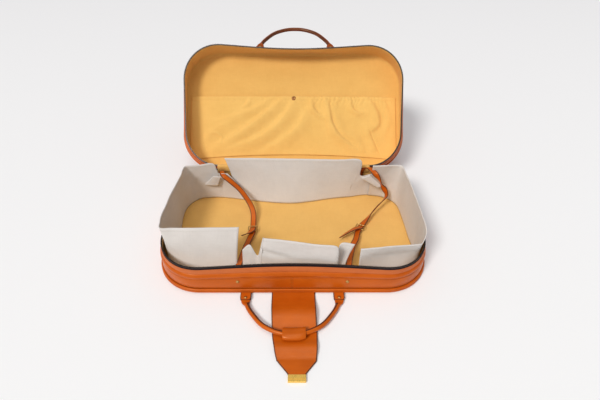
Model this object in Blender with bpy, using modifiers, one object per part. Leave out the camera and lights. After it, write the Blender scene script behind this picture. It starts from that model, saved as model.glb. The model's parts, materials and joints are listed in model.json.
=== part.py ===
"""A leather suitcase that lies open on the floor: two soft halves on a leather spine, a zip round
the other three sides, a wide closing tongue, two handles, a lining, dust walls and packing straps.

Each half is modelled in its own frame: its outer panel's face at z = 0, its mouth facing +Z, its
front at -Y and its spine at +Y. The base's frame is the world. The lid's frame hangs on the hinge.
"""

import math
from typing import NamedTuple

import bmesh
import bpy
from mathutils import Euler, Matrix, Vector

# The whole case, in metres
CASE_WIDTH = 0.550
CASE_DEPTH = 0.308
BASE_HEIGHT = 0.070
LID_HEIGHT = 0.064
OPEN_ANGLE = math.radians(137)
GAP = 0.0003
MOUTH_GAP = 0.001

# Outlines: the board's edge, and the mouth, which curls in, narrows to the rear and dips in front
PANEL_CORNER = 0.092
MOUTH_DRAW_IN = 0.006
MOUTH_SETBACK = 0.004
FRONT_MOUTH_CORNER = 0.093
REAR_MOUTH_CORNER = 0.080
REAR_TAPER = 0.016
FRONT_DIP = 0.013
FOOT_INSET = 0.0045

# Steps along the outline
CORNER_STEPS = 6
FRONT_SPANS = 8
SIDE_SPANS = 3
HALF_REAR_SPANS = 3

# Layers of the outer face and bands of the wall
PANEL_INSET = 0.0025
PANEL_THICKNESS = 0.0024
BOARD_THICKNESS = 0.0025
LINING_THICKNESS = 0.0012
PIPING_RADIUS = 0.0028
GUSSET_THICKNESS = 0.0022
GUSSET_BULGE = 0.0012
WELT_HEIGHT = 0.0129
WELT_BULGE = 0.0030
WELT_THICKNESS = 0.0020
FACING_HEIGHT = 0.0121
FACING_THICKNESS = 0.0018
TAPE_HEIGHT = 0.0063
TAPE_THICKNESS = 0.0014
WALL_LINING_DEPTH = 0.0027
WALL_LINING_THICKNESS = 0.0010
WALL_LINING_SETBACK = 0.0015
FLOOR_LINING_INSET = 0.0040
GUSSET_ROWS = 4
WELT_ROWS = 5

# The leather spine between the halves
HINGE_OFFSET = 0.0005
SPINE_THICKNESS = 0.0018
SPINE_SIDE_GAP = 0.0012
SPINE_BEVEL = 0.0004
SPINE_ARCH = 0.005
SPINE_ARCH_STEPS = 8

# Canvas dust walls
CANVAS_HEIGHT = 0.105
CANVAS_THICKNESS = 0.0016
CANVAS_ROWS = 4

# Packing straps and their buckles
STRAP_WIDTH = 0.0135
STRAP_THICKNESS = 0.0018
STRAP_STEPS = 2
STRAP_REAR_SEAT = 0.030
STRAP_FRONT_SEAT = 0.030
STRAP_END = 0.008
STUD_RADIUS = 0.0034
STUD_HEIGHT = 0.0016
STUD_SHANK_RADIUS = 0.0014
STUD_CAP_RADIUS = 0.0026
STUD_CAP_THICKNESS = 0.0008
BUCKLE_WIDTH = 0.0185
BUCKLE_LENGTH = 0.0130
BUCKLE_WIRE_RADIUS = 0.0009
BUCKLE_STRAP_RISE = 0.0028
BUCKLE_END_DROP = 0.0010
PRONG_RADIUS = 0.0007
PRONG_HOLE_RADIUS = 0.0012

# The closing tongue and its brass end
TONGUE_HINGE_Y = 0.0045
TONGUE_HINGE_HEIGHT = 0.0030
TONGUE_FOLD_LENGTH = 0.1365
TONGUE_TIP_LENGTH = 0.0270
TONGUE_HALF_WIDTH = 0.0425
TONGUE_DRIFT = 0.006
TONGUE_THICKNESS = 0.0026
TONGUE_ROOT_LENGTH = 0.034
TONGUE_HUMP_HEIGHT = 0.0125
TONGUE_TIP_HALF_WIDTH = 0.0155
TONGUE_TIP_BASE = 0.0012
FOLD_GAP = 0.0004
CLIP_LENGTH = 0.0130
CLIP_WIDTH = 0.031
CLIP_THICKNESS = 0.0048
CLIP_OVERLAP = 0.0085
CLIP_BEVEL = 0.0006
CLIP_GROOVE = 0.0006

# Handles, each from one chape to the other, and the chapes that carry them
HANDLE_REACH = 0.0935
HANDLE_HALF_WIDTH = 0.0905
HANDLE_RADIUS = 0.0045
HANDLE_HINGE_Y = 0.0032
HANDLE_HINGE_HEIGHT = 0.0035
FRONT_HANDLE_OFFSET = -0.002
LID_HANDLE_OFFSET = 0.0035
FRONT_HANDLE_TILT = math.radians(5.2)
LID_HANDLE_TILT = math.radians(-32)
HANDLE_SIDES = 8
HANDLE_STEPS = 3
TAB_HALF_WIDTH = 0.0083
TAB_THICKNESS = 0.0018
TAB_SQUARE_SHARE = 0.3
CHAPE_WIDTH = 0.021
CHAPE_LENGTH = 0.016
CHAPE_LAYER = 0.0016
CHAPE_BEND_RADIUS = 0.0020
CHAPE_ROOT_LENGTH = 0.026
CHAPE_ROOT_END = 0.0002
CHAPE_RIVET_RUN = 0.0108
SLEEVE_LENGTH = 0.042
SLEEVE_HALF_WIDTH = 0.013
SLEEVE_HALF_THICKNESS = 0.007
SLEEVE_SIDES = 12
BORE_OVERRUN = 0.006

# The lid's pocket and its press stud
POCKET_HEM = 0.188
POCKET_FOOT = 0.039
POCKET_HALF_WIDTH = 0.250
POCKET_FOOT_HALF_WIDTH = 0.205
POCKET_THICKNESS = 0.0012
POCKET_MOUTH = 0.007
POCKET_GATHER = 0.0016
POCKET_COLUMNS = 28
POCKET_ROWS = 7
SNAP_RADIUS = 0.0055
SNAP_HEIGHT = 0.0016
SNAP_POST_RADIUS = 0.0020
SNAP_POST_LENGTH = 0.0045

# The catch on the lid's outer face
CATCH_WIDTH = 0.036
CATCH_FRONT = 0.0105
CATCH_LENGTH = 0.046
CATCH_PLATE_THICKNESS = 0.0012
CATCH_BODY_LENGTH = 0.0150
CATCH_BODY_HEIGHT = 0.0045
CATCH_BEVEL = 0.0005
BUTTON_RADIUS = 0.0042
BUTTON_CLEARANCE = 0.0004
BUTTON_PROUD = 0.0026
BUTTON_BEVEL = 0.0006

# The zip's slider and pull, parked round the rear right corner
SLIDER_LENGTH = 0.0095
SLIDER_DEPTH = 0.0045
SLIDER_HEIGHT = 0.0085
SLIDER_BEVEL = 0.0012
PULL_WIDTH = 0.0048
PULL_THICKNESS = 0.0012
PULL_LENGTH = 0.0240
PULL_STANDOFF = 0.0006
PULL_DROP = 0.0012
PULL_BEVEL = 0.0004

CUT_OVERRUN = 0.006
ROUND_STEPS = 16

# Rows of a canvas wall: foot x, foot y, top x, top y as shares of half the case, top height as a share
LEFT_WRAP_SHARES = (
    (-0.395, 0.718, -0.518, 0.789, 0.676),
    (-0.509, 0.753, -0.582, 0.782, 0.686),
    (-0.604, 0.773, -0.628, 0.787, 0.695),
    (-0.609, 0.773, -0.659, 0.789, 0.995),
    (-0.691, 0.773, -0.763, 0.768, 1.000),
    (-0.789, 0.756, -0.833, 0.747, 1.000),
    (-0.844, 0.692, -0.880, 0.727, 1.000),
    (-0.885, 0.597, -0.891, 0.636, 1.000),
    (-0.909, 0.481, -0.893, 0.470, 1.000),
    (-0.916, 0.312, -0.905, 0.299, 1.000),
    (-0.909, 0.136, -0.918, 0.131, 1.000),
    (-0.916, -0.065, -0.933, -0.126, 1.000),
    (-0.925, -0.292, -0.942, -0.295, 1.000),
    (-0.920, -0.519, -0.938, -0.442, 1.000),
    (-0.891, -0.682, -0.926, -0.543, 1.000),
    (-0.818, -0.805, -0.855, -0.545, 0.995),
    (-0.709, -0.851, -0.727, -0.542, 0.990),
    (-0.582, -0.860, -0.545, -0.534, 0.990),
    (-0.495, -0.860, -0.393, -0.529, 0.990),
)
FRONT_CANVAS_SHARES = (
    (-0.360, -0.860, -0.358, -0.701, 0.657),
    (-0.320, -0.860, -0.305, -0.675, 0.752),
    (-0.262, -0.860, -0.251, -0.727, 0.543),
    (-0.233, -0.860, -0.204, -0.705, 0.971),
    (-0.109, -0.857, -0.080, -0.734, 0.981),
    (0.043, -0.854, 0.043, -0.773, 0.981),
    (0.164, -0.857, 0.164, -0.802, 0.962),
    (0.291, -0.867, 0.296, -0.838, 0.962),
    (0.300, -0.867, 0.305, -0.799, 0.562),
    (0.309, -0.867, 0.331, -0.672, 0.781),
    (0.347, -0.867, 0.429, -0.679, 0.771),
)
RIGHT_WRAP_SHARES = (
    (0.458, -0.864, 0.460, -0.788, 0.838),
    (0.545, -0.864, 0.593, -0.756, 0.838),
    (0.673, -0.851, 0.735, -0.723, 0.838),
    (0.782, -0.818, 0.865, -0.705, 0.848),
    (0.873, -0.714, 0.895, -0.688, 0.857),
    (0.916, -0.552, 0.927, -0.594, 0.924),
    (0.924, -0.422, 0.929, -0.503, 0.990),
    (0.927, -0.272, 0.926, -0.288, 1.000),
    (0.916, -0.065, 0.923, -0.060, 1.000),
    (0.911, 0.155, 0.912, 0.245, 1.000),
    (0.902, 0.390, 0.901, 0.439, 1.000),
    (0.887, 0.582, 0.895, 0.597, 1.000),
    (0.847, 0.701, 0.884, 0.708, 1.000),
    (0.771, 0.792, 0.829, 0.724, 1.000),
    (0.690, 0.825, 0.742, 0.710, 1.000),
    (0.651, 0.828, 0.644, 0.708, 1.000),
)
REAR_CANVAS_SHARES = (
    (-0.378, 0.712, -0.571, 0.878, 1.000),
    (-0.255, 0.675, -0.364, 0.870, 1.010),
    (-0.109, 0.647, -0.164, 0.864, 1.010),
    (0.012, 0.645, 0.010, 0.859, 1.010),
    (0.164, 0.688, 0.182, 0.852, 1.010),
    (0.317, 0.747, 0.364, 0.846, 1.005),
    (0.473, 0.789, 0.554, 0.840, 1.000),
    (0.484, 0.792, 0.562, 0.828, 0.600),
    (0.545, 0.812, 0.635, 0.831, 0.610),
)

# A strap's route: x and y as shares of half the case, z as a share of the base's height, then the
# turn of the strap's width about Z and its roll about the strap, in degrees
LEFT_REAR_STRAP_SHARES = (
    (-0.611, 0.896, 1.114, 0, 0),
    (-0.605, 0.825, 1.264, 5, 0),
    (-0.585, 0.737, 1.250, 25, 0),
    (-0.545, 0.711, 1.093, 45, 0),
    (-0.491, 0.679, 0.864, 45, 0),
    (-0.449, 0.633, 0.736, 43, 0),
    (-0.406, 0.559, 0.600, 40, 0),
    (-0.371, 0.484, 0.486, 35, 0),
    (-0.344, 0.395, 0.400, 22, 0),
    (-0.330, 0.308, 0.314, 8, 0),
    (-0.327, 0.201, 0.236, 0, 0),
)
LEFT_TAIL_SHARES = (
    (-0.344, -0.045, 0.293, -35, 0),
    (-0.376, -0.075, 0.264, -62, 0),
    (-0.411, -0.088, 0.229, -75, 0),
)
LEFT_FRONT_STRAP_SHARES = (
    (-0.331, -0.052, 0.214, 0, 0),
    (-0.342, -0.133, 0.229, -14, 0),
    (-0.366, -0.288, 0.286, -15, 0),
    (-0.382, -0.406, 0.357, -12, 0),
    (-0.397, -0.528, 0.443, -8, 0),
    (-0.403, -0.658, 0.514, -5, 0),
    (-0.407, -0.766, 0.586, -2, 0),
    (-0.400, -0.864, 0.614, 0, 0),
)
RIGHT_REAR_STRAP_SHARES = (
    (0.576, 0.909, 1.057, 0, 0),
    (0.587, 0.851, 1.357, 0, 0),
    (0.600, 0.766, 1.550, 5, 0),
    (0.615, 0.688, 1.536, 12, 0),
    (0.638, 0.646, 1.400, 10, 0),
    (0.697, 0.630, 1.100, 0, 0),
    (0.760, 0.649, 0.757, -5, 0),
    (0.785, 0.630, 0.529, -40, 25),
    (0.767, 0.578, 0.429, -50, 55),
    (0.707, 0.471, 0.357, -45, 70),
    (0.650, 0.347, 0.314, -42, 70),
    (0.602, 0.237, 0.264, -38, 40),
)
RIGHT_TAIL_SHARES = (
    (0.500, 0.012, 0.336, -45, 0),
    (0.464, -0.030, 0.343, -58, 0),
    (0.425, -0.066, 0.314, -60, 0),
    (0.360, -0.140, 0.250, -60, 0),
)
RIGHT_FRONT_STRAP_SHARES = (
    (0.507, -0.036, 0.229, -23, 0),
    (0.487, -0.175, 0.286, -22, 0),
    (0.455, -0.310, 0.343, -20, 0),
    (0.428, -0.493, 0.443, -14, 0),
    (0.407, -0.646, 0.529, -12, 0),
    (0.395, -0.766, 0.600, -8, 0),
    (0.384, -0.864, 0.614, -3, 0),
)
LEFT_SEAT_SHARES = (-0.6109, -0.3927)
RIGHT_SEAT_SHARES = (0.5745, 0.3782)
LEFT_BUCKLE_SHARES = (-0.327, 0.055, 0.229)
RIGHT_BUCKLE_SHARES = (0.538, 0.084, 0.236)
LEFT_BUCKLE_HEADING = 0
RIGHT_BUCKLE_HEADING = -27
PRONG_RUN_SHARES = (-0.38, -0.05, 0.54)
PRONG_RISE_SHARES = (-0.10, 0.60, 0.95)

# The tongue's rows: run as a share of the stretch between the folds, height of its upper face as a
# share of the hump, and half its width as a share of the widest
TONGUE_ROW_SHARES = (
    (0.000, 0.22, 1.000),
    (0.080, 0.32, 1.000),
    (0.180, 0.64, 1.000),
    (0.270, 0.92, 0.995),
    (0.326, 1.00, 0.990),
    (0.400, 0.88, 0.985),
    (0.500, 0.56, 0.980),
    (0.580, 0.40, 0.975),
    (0.660, 0.34, 0.970),
    (0.730, 0.44, 0.950),
    (0.817, 0.68, 0.920),
    (0.900, 0.54, 0.890),
    (0.960, 0.36, 0.850),
    (1.000, 0.30, 0.825),
)

SLEEVE_SHARE = 0.676

# The handle's line: x as a share of half its span, run as a share of its reach
HANDLE_LINE_SHARES = (
    (1.000, 0.050),
    (1.000, 0.160),
    (0.960, 0.290),
    (0.860, 0.480),
    (0.640, 0.760),
    (0.410, 0.910),
    (0.190, 0.985),
    (0.000, 1.000),
)
CHAPE_END_SHARES = ((0.00, 1.00), (0.72, 1.00), (0.92, 0.85), (1.00, 0.55))


class Finish(NamedTuple):
    """A material's colour in linear light, its roughness and its metallic value."""

    colour: tuple
    roughness: float
    metallic: float


FINISHES = {
    "leather": Finish((0.546, 0.098, 0.013), 0.42, 0.0),
    "dark_leather": Finish((0.400, 0.065, 0.010), 0.45, 0.0),
    "light_leather": Finish((0.620, 0.150, 0.035), 0.50, 0.0),
    "cotton": Finish((0.855, 0.479, 0.127), 0.85, 0.0),
    "canvas": Finish((0.631, 0.552, 0.479), 0.90, 0.0),
    "zip_tape": Finish((0.017, 0.011, 0.014), 0.80, 0.0),
    "brass": Finish((0.871, 0.578, 0.102), 0.25, 1.0),
}


class Plan(NamedTuple):
    """A rounded oblong seen from above, narrower to the rear by the taper and dipped in front."""

    half_width: float
    half_depth: float
    front_corner: float
    rear_corner: float
    taper: float
    dip: float

    def inset(self, distance):
        """This plan drawn in by a distance all round."""
        return Plan(
            self.half_width - distance,
            self.half_depth - distance,
            self.front_corner - distance,
            self.rear_corner - distance,
            self.taper,
            self.dip,
        )

    def toward(self, other, share):
        """The plan that lies a share of the way to another one."""
        return Plan(*(a + (b - a) * share for a, b in zip(self, other)))

    def shape(self, x, y):
        """Applies the taper and the dip to a point of the plain rounded oblong."""
        rearness = (y + self.half_depth) / (2 * self.half_depth)
        narrowed = x * (1 - self.taper * rearness / self.half_width)
        frontness = max(-y / self.half_depth, 0)
        dipped = y + self.dip * frontness * math.cos(math.pi * x / (2 * self.half_width)) ** 2
        return narrowed, dipped

    def straight_rear(self):
        """Half the length of the straight stretch at the rear."""
        return self.shape(self.half_width - self.rear_corner, self.half_depth)[0]

    def outline(self):
        """Points anticlockwise from the middle of the rear."""
        rear_x = self.half_width - self.rear_corner
        front_x = self.half_width - self.front_corner
        rear_y = self.half_depth - self.rear_corner
        front_y = self.front_corner - self.half_depth
        side_shares = [step / SIDE_SPANS for step in range(1, SIDE_SPANS)]
        points = [(-rear_x * step / HALF_REAR_SPANS, self.half_depth) for step in range(HALF_REAR_SPANS)]
        points += corner(-rear_x, rear_y, self.rear_corner, 90)
        points += [(-self.half_width, rear_y + (front_y - rear_y) * share) for share in side_shares]
        points += corner(-front_x, front_y, self.front_corner, 180)
        points += [
            (front_x * (2 * step / FRONT_SPANS - 1), -self.half_depth) for step in range(1, FRONT_SPANS)
        ]
        points += corner(front_x, front_y, self.front_corner, 270)
        points += [(self.half_width, front_y + (rear_y - front_y) * share) for share in side_shares]
        points += corner(rear_x, rear_y, self.rear_corner, 0)
        points += [
            (rear_x * (1 - step / HALF_REAR_SPANS), self.half_depth) for step in range(1, HALF_REAR_SPANS)
        ]
        return [self.shape(x, y) for x, y in points]


def corner(x, y, radius, start):
    """Points of a quarter circle about (x, y), anticlockwise from the start angle in degrees."""
    angles = [math.radians(start + 90 * step / CORNER_STEPS) for step in range(CORNER_STEPS + 1)]
    return [(x + radius * math.cos(angle), y + radius * math.sin(angle)) for angle in angles]


BRIM = Plan(CASE_WIDTH / 2, CASE_DEPTH / 2, PANEL_CORNER, PANEL_CORNER, 0, 0)
FOOT = BRIM.inset(FOOT_INSET)
MOUTH = Plan(
    CASE_WIDTH / 2 - MOUTH_DRAW_IN,
    CASE_DEPTH / 2 - MOUTH_SETBACK,
    FRONT_MOUTH_CORNER,
    REAR_MOUTH_CORNER,
    REAR_TAPER,
    FRONT_DIP,
)
ZIP_START = HALF_REAR_SPANS
BOARD_Z = PANEL_THICKNESS + GAP
LINING_Z = BOARD_Z + BOARD_THICKNESS + GAP
PIPING_Z = LINING_Z + PIPING_RADIUS
WALL_Z = PIPING_Z + PIPING_RADIUS + GAP
FLOOR_TOP = LINING_Z + LINING_THICKNESS
HINGE_Y = CASE_DEPTH / 2 + HINGE_OFFSET
HINGE_Z = BASE_HEIGHT + MOUTH_GAP / 2
STRAP_DEPTH = WALL_LINING_DEPTH + WALL_LINING_THICKNESS + 3 * GAP + STRAP_THICKNESS / 2
TONGUE_FOLD_Y = -CASE_DEPTH / 2 - TONGUE_HINGE_Y
HANDLE_FOLD_Y = -CASE_DEPTH / 2 - HANDLE_HINGE_Y


class Half(NamedTuple):
    """The levels of one half's wall."""

    height: float

    def tape_z(self):
        return self.height - TAPE_HEIGHT

    def facing_z(self):
        return self.tape_z() - GAP - FACING_HEIGHT

    def welt_z(self):
        return self.facing_z() - GAP - WELT_HEIGHT

    def gusset_top(self):
        return self.welt_z() - GAP

    def plan_at(self, z):
        """The wall's outline at a height, without its bands' bulges."""
        share = (z - WALL_Z) / (self.height - WALL_Z)
        return FOOT.toward(MOUTH, share)

    def gusset_bulge(self, z):
        share = (z - WALL_Z) / (self.gusset_top() - WALL_Z)
        return GUSSET_BULGE * math.sin(math.pi * share)

    def front_face(self, x, z):
        """A point of the gusset's outer face in front."""
        plan = self.plan_at(z)
        return Vector((x, plan.shape(x, -plan.half_depth)[1] - self.gusset_bulge(z), z))

    def front_normal(self, x, z):
        """The way out of the wall at a point of its front."""
        along = self.front_face(x + GAP, z) - self.front_face(x - GAP, z)
        up = self.front_face(x, z + GAP) - self.front_face(x, z - GAP)
        return along.cross(up).normalized()

    def strap_seat(self, x, z):
        """The middle of a packing strap's end where it lies on the front's lining."""
        seat = self.front_face(x, z)
        seat.y += self.gusset_bulge(z) + STRAP_DEPTH
        return seat


BASE = Half(BASE_HEIGHT)
LID = Half(LID_HEIGHT)


def clear_scene():
    for obj in list(bpy.data.objects):
        bpy.data.objects.remove(obj, do_unlink=True)


def make_collection(name, hidden=False):
    collection = bpy.data.collections.new(name)
    collection.hide_render = hidden
    bpy.context.scene.collection.children.link(collection)
    return collection


def make_material(name, finish):
    material = bpy.data.materials.new(name)
    material.use_nodes = True
    shader = material.node_tree.nodes["Principled BSDF"]
    shader.inputs["Base Color"].default_value = (*finish.colour, 1)
    shader.inputs["Roughness"].default_value = finish.roughness
    shader.inputs["Metallic"].default_value = finish.metallic
    material.diffuse_color = (*finish.colour, 1)
    return material


class Bench:
    """Holds the scene's collections and materials, and adds objects to them."""

    def __init__(self):
        self.parts = make_collection("leather_suitcase")
        self.cutters = make_collection("suitcase_cutters", hidden=True)
        self.materials = {name: make_material(name, finish) for name, finish in FINISHES.items()}

    def add(self, name, data, finish, parent, place=Matrix()):
        """Adds a part with its finish, placed in its parent's frame."""
        obj = bpy.data.objects.new(name, data)
        data.materials.append(self.materials[finish])
        self.parts.objects.link(obj)
        obj.parent = parent
        obj.matrix_local = place
        return obj

    def add_cutter(self, name, data, parent, place=Matrix()):
        obj = bpy.data.objects.new(name, data)
        self.cutters.objects.link(obj)
        obj.hide_render = True
        obj.display_type = "WIRE"
        obj.parent = parent
        obj.matrix_local = place
        return obj

    def add_frame(self, name, parent, place=Matrix()):
        """Adds an empty that carries a joint or one half of the case."""
        frame = bpy.data.objects.new(name, None)
        self.parts.objects.link(frame)
        frame.parent = parent
        frame.matrix_local = place
        return frame


def shift(x=0.0, y=0.0, z=0.0):
    return Matrix.Translation((x, y, z))


def turn(angle, axis):
    return Matrix.Rotation(angle, 4, axis)


def hinge_place():
    """The lid's hinge in the world, turned as far as the lid stands open."""
    return shift(y=HINGE_Y, z=HINGE_Z) @ turn(-OPEN_ANGLE, "X")


def lid_place():
    """The lid's frame on its hinge: mouth down, so that it lies on the base when shut."""
    return shift(y=-HINGE_Y, z=LID_HEIGHT + MOUTH_GAP / 2) @ turn(math.pi, "Y")


def smoothed(mesh, sharp_angle=35):
    mesh.shade_smooth()
    mesh.set_sharp_from_angle(angle=math.radians(sharp_angle))
    return mesh


def sheet_mesh(name, rows, closed=False):
    """An open surface through rows of points. Its faces look to the right of a row that runs up."""
    count = len(rows[0])
    faces = []
    for row in range(len(rows) - 1):
        for column in range(count if closed else count - 1):
            following = (column + 1) % count
            low = row * count
            faces.append((low + column, low + following, low + count + following, low + count + column))
    mesh = bpy.data.meshes.new(name)
    mesh.from_pydata([point for row in rows for point in row], [], faces)
    return smoothed(mesh)


def loft_mesh(name, sections):
    """A closed solid through closed sections, with a flat cap at each end."""
    mesh = sheet_mesh(name, sections, closed=True)
    form = bmesh.new()
    form.from_mesh(mesh)
    form.verts.ensure_lookup_table()
    count = len(sections[0])
    form.faces.new(reversed(form.verts[:count]))
    form.faces.new(form.verts[-count:])
    bmesh.ops.recalc_face_normals(form, faces=form.faces)
    form.to_mesh(mesh)
    form.free()
    return smoothed(mesh)


def box_mesh(name, size, centre=(0, 0, 0)):
    form = bmesh.new()
    bmesh.ops.create_cube(form, size=1)
    bmesh.ops.scale(form, vec=size, verts=form.verts)
    bmesh.ops.translate(form, vec=centre, verts=form.verts)
    mesh = bpy.data.meshes.new(name)
    form.to_mesh(mesh)
    form.free()
    return mesh


def cylinder_mesh(name, radius, depth):
    form = bmesh.new()
    bmesh.ops.create_cone(
        form, cap_ends=True, segments=ROUND_STEPS, radius1=radius, radius2=radius, depth=depth
    )
    mesh = bpy.data.meshes.new(name)
    form.to_mesh(mesh)
    form.free()
    return smoothed(mesh)


def tube_curve(name, points, radius, cyclic=False, resolution=1):
    curve = bpy.data.curves.new(name, "CURVE")
    curve.dimensions = "3D"
    curve.bevel_depth = radius
    curve.bevel_resolution = resolution
    curve.use_fill_caps = not cyclic
    spline = curve.splines.new("POLY")
    spline.points.add(len(points) - 1)
    for target, point in zip(spline.points, points):
        target.co = (*point, 1)
    spline.use_cyclic_u = cyclic
    return curve


def tube_mesh(name, points, radius):
    """A closed tube as a mesh, for pieces that cut others."""
    holder = bpy.data.objects.new(name, tube_curve(name, points, radius))
    bpy.context.scene.collection.objects.link(holder)
    evaluated = holder.evaluated_get(bpy.context.evaluated_depsgraph_get())
    mesh = bpy.data.meshes.new_from_object(evaluated)
    form = bmesh.new()
    form.from_mesh(mesh)
    bmesh.ops.remove_doubles(form, verts=form.verts, dist=radius / ROUND_STEPS)
    bmesh.ops.recalc_face_normals(form, faces=form.faces)
    form.to_mesh(mesh)
    form.free()
    bpy.data.objects.remove(holder)
    return mesh


def turned(bench, name, profile, finish, parent, place=Matrix()):
    """A part turned about Z from a profile that runs down its outer side."""
    mesh = bpy.data.meshes.new(name)
    edges = [(step, step + 1) for step in range(len(profile) - 1)]
    mesh.from_pydata([(radius, 0, height) for radius, height in profile], edges, [])
    part = bench.add(name, mesh, finish, parent, place)
    screw = part.modifiers.new("turn", "SCREW")
    screw.steps = ROUND_STEPS
    screw.render_steps = ROUND_STEPS
    screw.use_merge_vertices = True
    screw.merge_threshold = GAP / ROUND_STEPS
    screw.use_smooth_shade = True
    return part


def thicken(part, thickness, offset, even=True):
    shell = part.modifiers.new("thickness", "SOLIDIFY")
    shell.thickness = thickness
    shell.offset = offset
    shell.use_even_offset = even


def round_edges(part, width, segments=2):
    edge = part.modifiers.new("edges", "BEVEL")
    edge.width = width
    edge.segments = segments
    edge.limit_method = "ANGLE"


def cut(part, cutter, operation="DIFFERENCE"):
    boolean = part.modifiers.new(cutter.name, "BOOLEAN")
    boolean.operation = operation
    boolean.object = cutter
    boolean.solver = "EXACT"


def mixed(a, b, share):
    return a + (b - a) * share


def smooth_line(points, steps):
    """Points along a smooth curve through the given ones, as tuples of any length."""
    line = []
    for index in range(len(points) - 1):
        before = points[max(index - 1, 0)]
        start = points[index]
        end = points[index + 1]
        after = points[min(index + 2, len(points) - 1)]
        for step in range(steps):
            t = step / steps
            line.append(
                tuple(
                    b + t * (c - a + t * (2 * a - 5 * b + 4 * c - d + t * (3 * b - a - 3 * c + d))) / 2
                    for a, b, c, d in zip(before, start, end, after)
                )
            )
    line.append(tuple(points[-1]))
    return line


def plate(bench, name, plan, z, thickness, finish, parent):
    """A flat layer with the plan's outline, from z up."""
    points = [(x, y, z + thickness) for x, y in plan.outline()]
    mesh = bpy.data.meshes.new(name)
    mesh.from_pydata(points, [], [range(len(points))])
    part = bench.add(name, mesh, finish, parent)
    thicken(part, thickness, -1)
    return part


def wall_rows(half, low, high, rows, bulge, inset=0.0, last=None):
    """Rows of wall points between two heights, swelled outward by a half wave."""
    result = []
    for row in range(rows + 1):
        share = row / rows
        z = mixed(low, high, share)
        plan = half.plan_at(z).inset(inset - bulge * math.sin(math.pi * share))
        outline = plan.outline()
        if last is not None:
            outline = outline[ZIP_START:last]
        result.append([(x, y, z) for x, y in outline])
    return result


def band(bench, name, rows, thickness, finish, parent, closed=True):
    part = bench.add(name, sheet_mesh(name, rows, closed), finish, parent)
    thicken(part, thickness, -1)
    return part


def build_half(bench, half, names, parent):
    """The panel, board, piping, wall bands and linings of one half, by their names."""
    zip_end = len(BRIM.outline()) - HALF_REAR_SPANS + 1
    parts = {
        "panel": plate(
            bench, names["panel"], BRIM.inset(PANEL_INSET), 0, PANEL_THICKNESS, "leather", parent
        ),
        "board": plate(bench, names["board"], BRIM, BOARD_Z, BOARD_THICKNESS, "dark_leather", parent),
        "lining": plate(
            bench,
            names["lining"],
            FOOT.inset(FLOOR_LINING_INSET),
            LINING_Z,
            LINING_THICKNESS,
            "cotton",
            parent,
        ),
    }
    piping_line = [(x, y, PIPING_Z) for x, y in BRIM.inset(PIPING_RADIUS + GAP).outline()]
    bench.add(
        names["piping"], tube_curve(names["piping"], piping_line, PIPING_RADIUS, True), "leather", parent
    )
    gusset_rows = wall_rows(half, WALL_Z, half.gusset_top(), GUSSET_ROWS, GUSSET_BULGE)
    parts["gusset"] = band(bench, names["gusset"], gusset_rows, GUSSET_THICKNESS, "leather", parent)
    welt_rows = wall_rows(half, half.welt_z(), half.welt_z() + WELT_HEIGHT, WELT_ROWS, WELT_BULGE)
    band(bench, names["welt"], welt_rows, WELT_THICKNESS, "leather", parent)
    facing_rows = wall_rows(
        half, half.facing_z(), half.facing_z() + FACING_HEIGHT, 1, 0, last=zip_end
    )
    band(bench, names["facing"], facing_rows, FACING_THICKNESS, "light_leather", parent, False)
    tape_rows = wall_rows(half, half.tape_z(), half.height, 1, 0, last=zip_end)
    band(bench, names["tape"], tape_rows, TAPE_THICKNESS, "zip_tape", parent, False)
    lining_rows = wall_rows(
        half, FLOOR_TOP + GAP, half.height - WALL_LINING_SETBACK, 2, 0, inset=WALL_LINING_DEPTH
    )
    parts["wall_lining"] = band(
        bench, names["wall_lining"], lining_rows, WALL_LINING_THICKNESS, "cotton", parent
    )
    add_spine_leaf(bench, half, names["spine"], parent)
    return parts


def add_spine_leaf(bench, half, name, parent):
    """The leather strip that takes the zip's place across the rear."""
    low = half.facing_z()
    high = half.height - GAP
    straight = min(half.plan_at(z).straight_rear() for z in (low, high)) - SPINE_SIDE_GAP
    size = (2 * straight, SPINE_THICKNESS, high - low)
    leaf = bench.add(
        name,
        box_mesh(name, size),
        "leather",
        parent,
        shift(y=half.plan_at(low).half_depth - SPINE_THICKNESS / 2, z=(low + high) / 2),
    )
    round_edges(leaf, SPINE_BEVEL, 1)


def spine_end(half):
    """The middle of a spine leaf's free edge in the half's own frame, a gap above it."""
    return Vector((0, half.plan_at(half.facing_z()).half_depth - SPINE_THICKNESS / 2, half.height))


def add_spine_arch(bench, base):
    """The leather that joins the spine's two leaves, arched over the hinge while the lid is open."""
    to_world = hinge_place() @ lid_place()
    start = spine_end(BASE)
    end = to_world @ spine_end(LID)
    up = Vector((0, 0, SPINE_ARCH))
    into_lid = to_world.to_3x3() @ -up
    points = [start, start + up, end - into_lid, end]
    half = min(BASE.plan_at(z).straight_rear() for z in (BASE.facing_z(), BASE.height)) - SPINE_SIDE_GAP
    rows = []
    for step in range(SPINE_ARCH_STEPS, -1, -1):
        share = step / SPINE_ARCH_STEPS
        weights = (
            (1 - share) ** 3,
            3 * share * (1 - share) ** 2,
            3 * share**2 * (1 - share),
            share**3,
        )
        x, y, z = sum((point * weight for point, weight in zip(points, weights)), Vector())
        rows.append([(x - half, y, z), (x + half, y, z)])
    arch = bench.add("spine_arch", sheet_mesh("spine_arch", rows), "leather", base)
    thicken(arch, SPINE_THICKNESS, 0)


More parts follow.
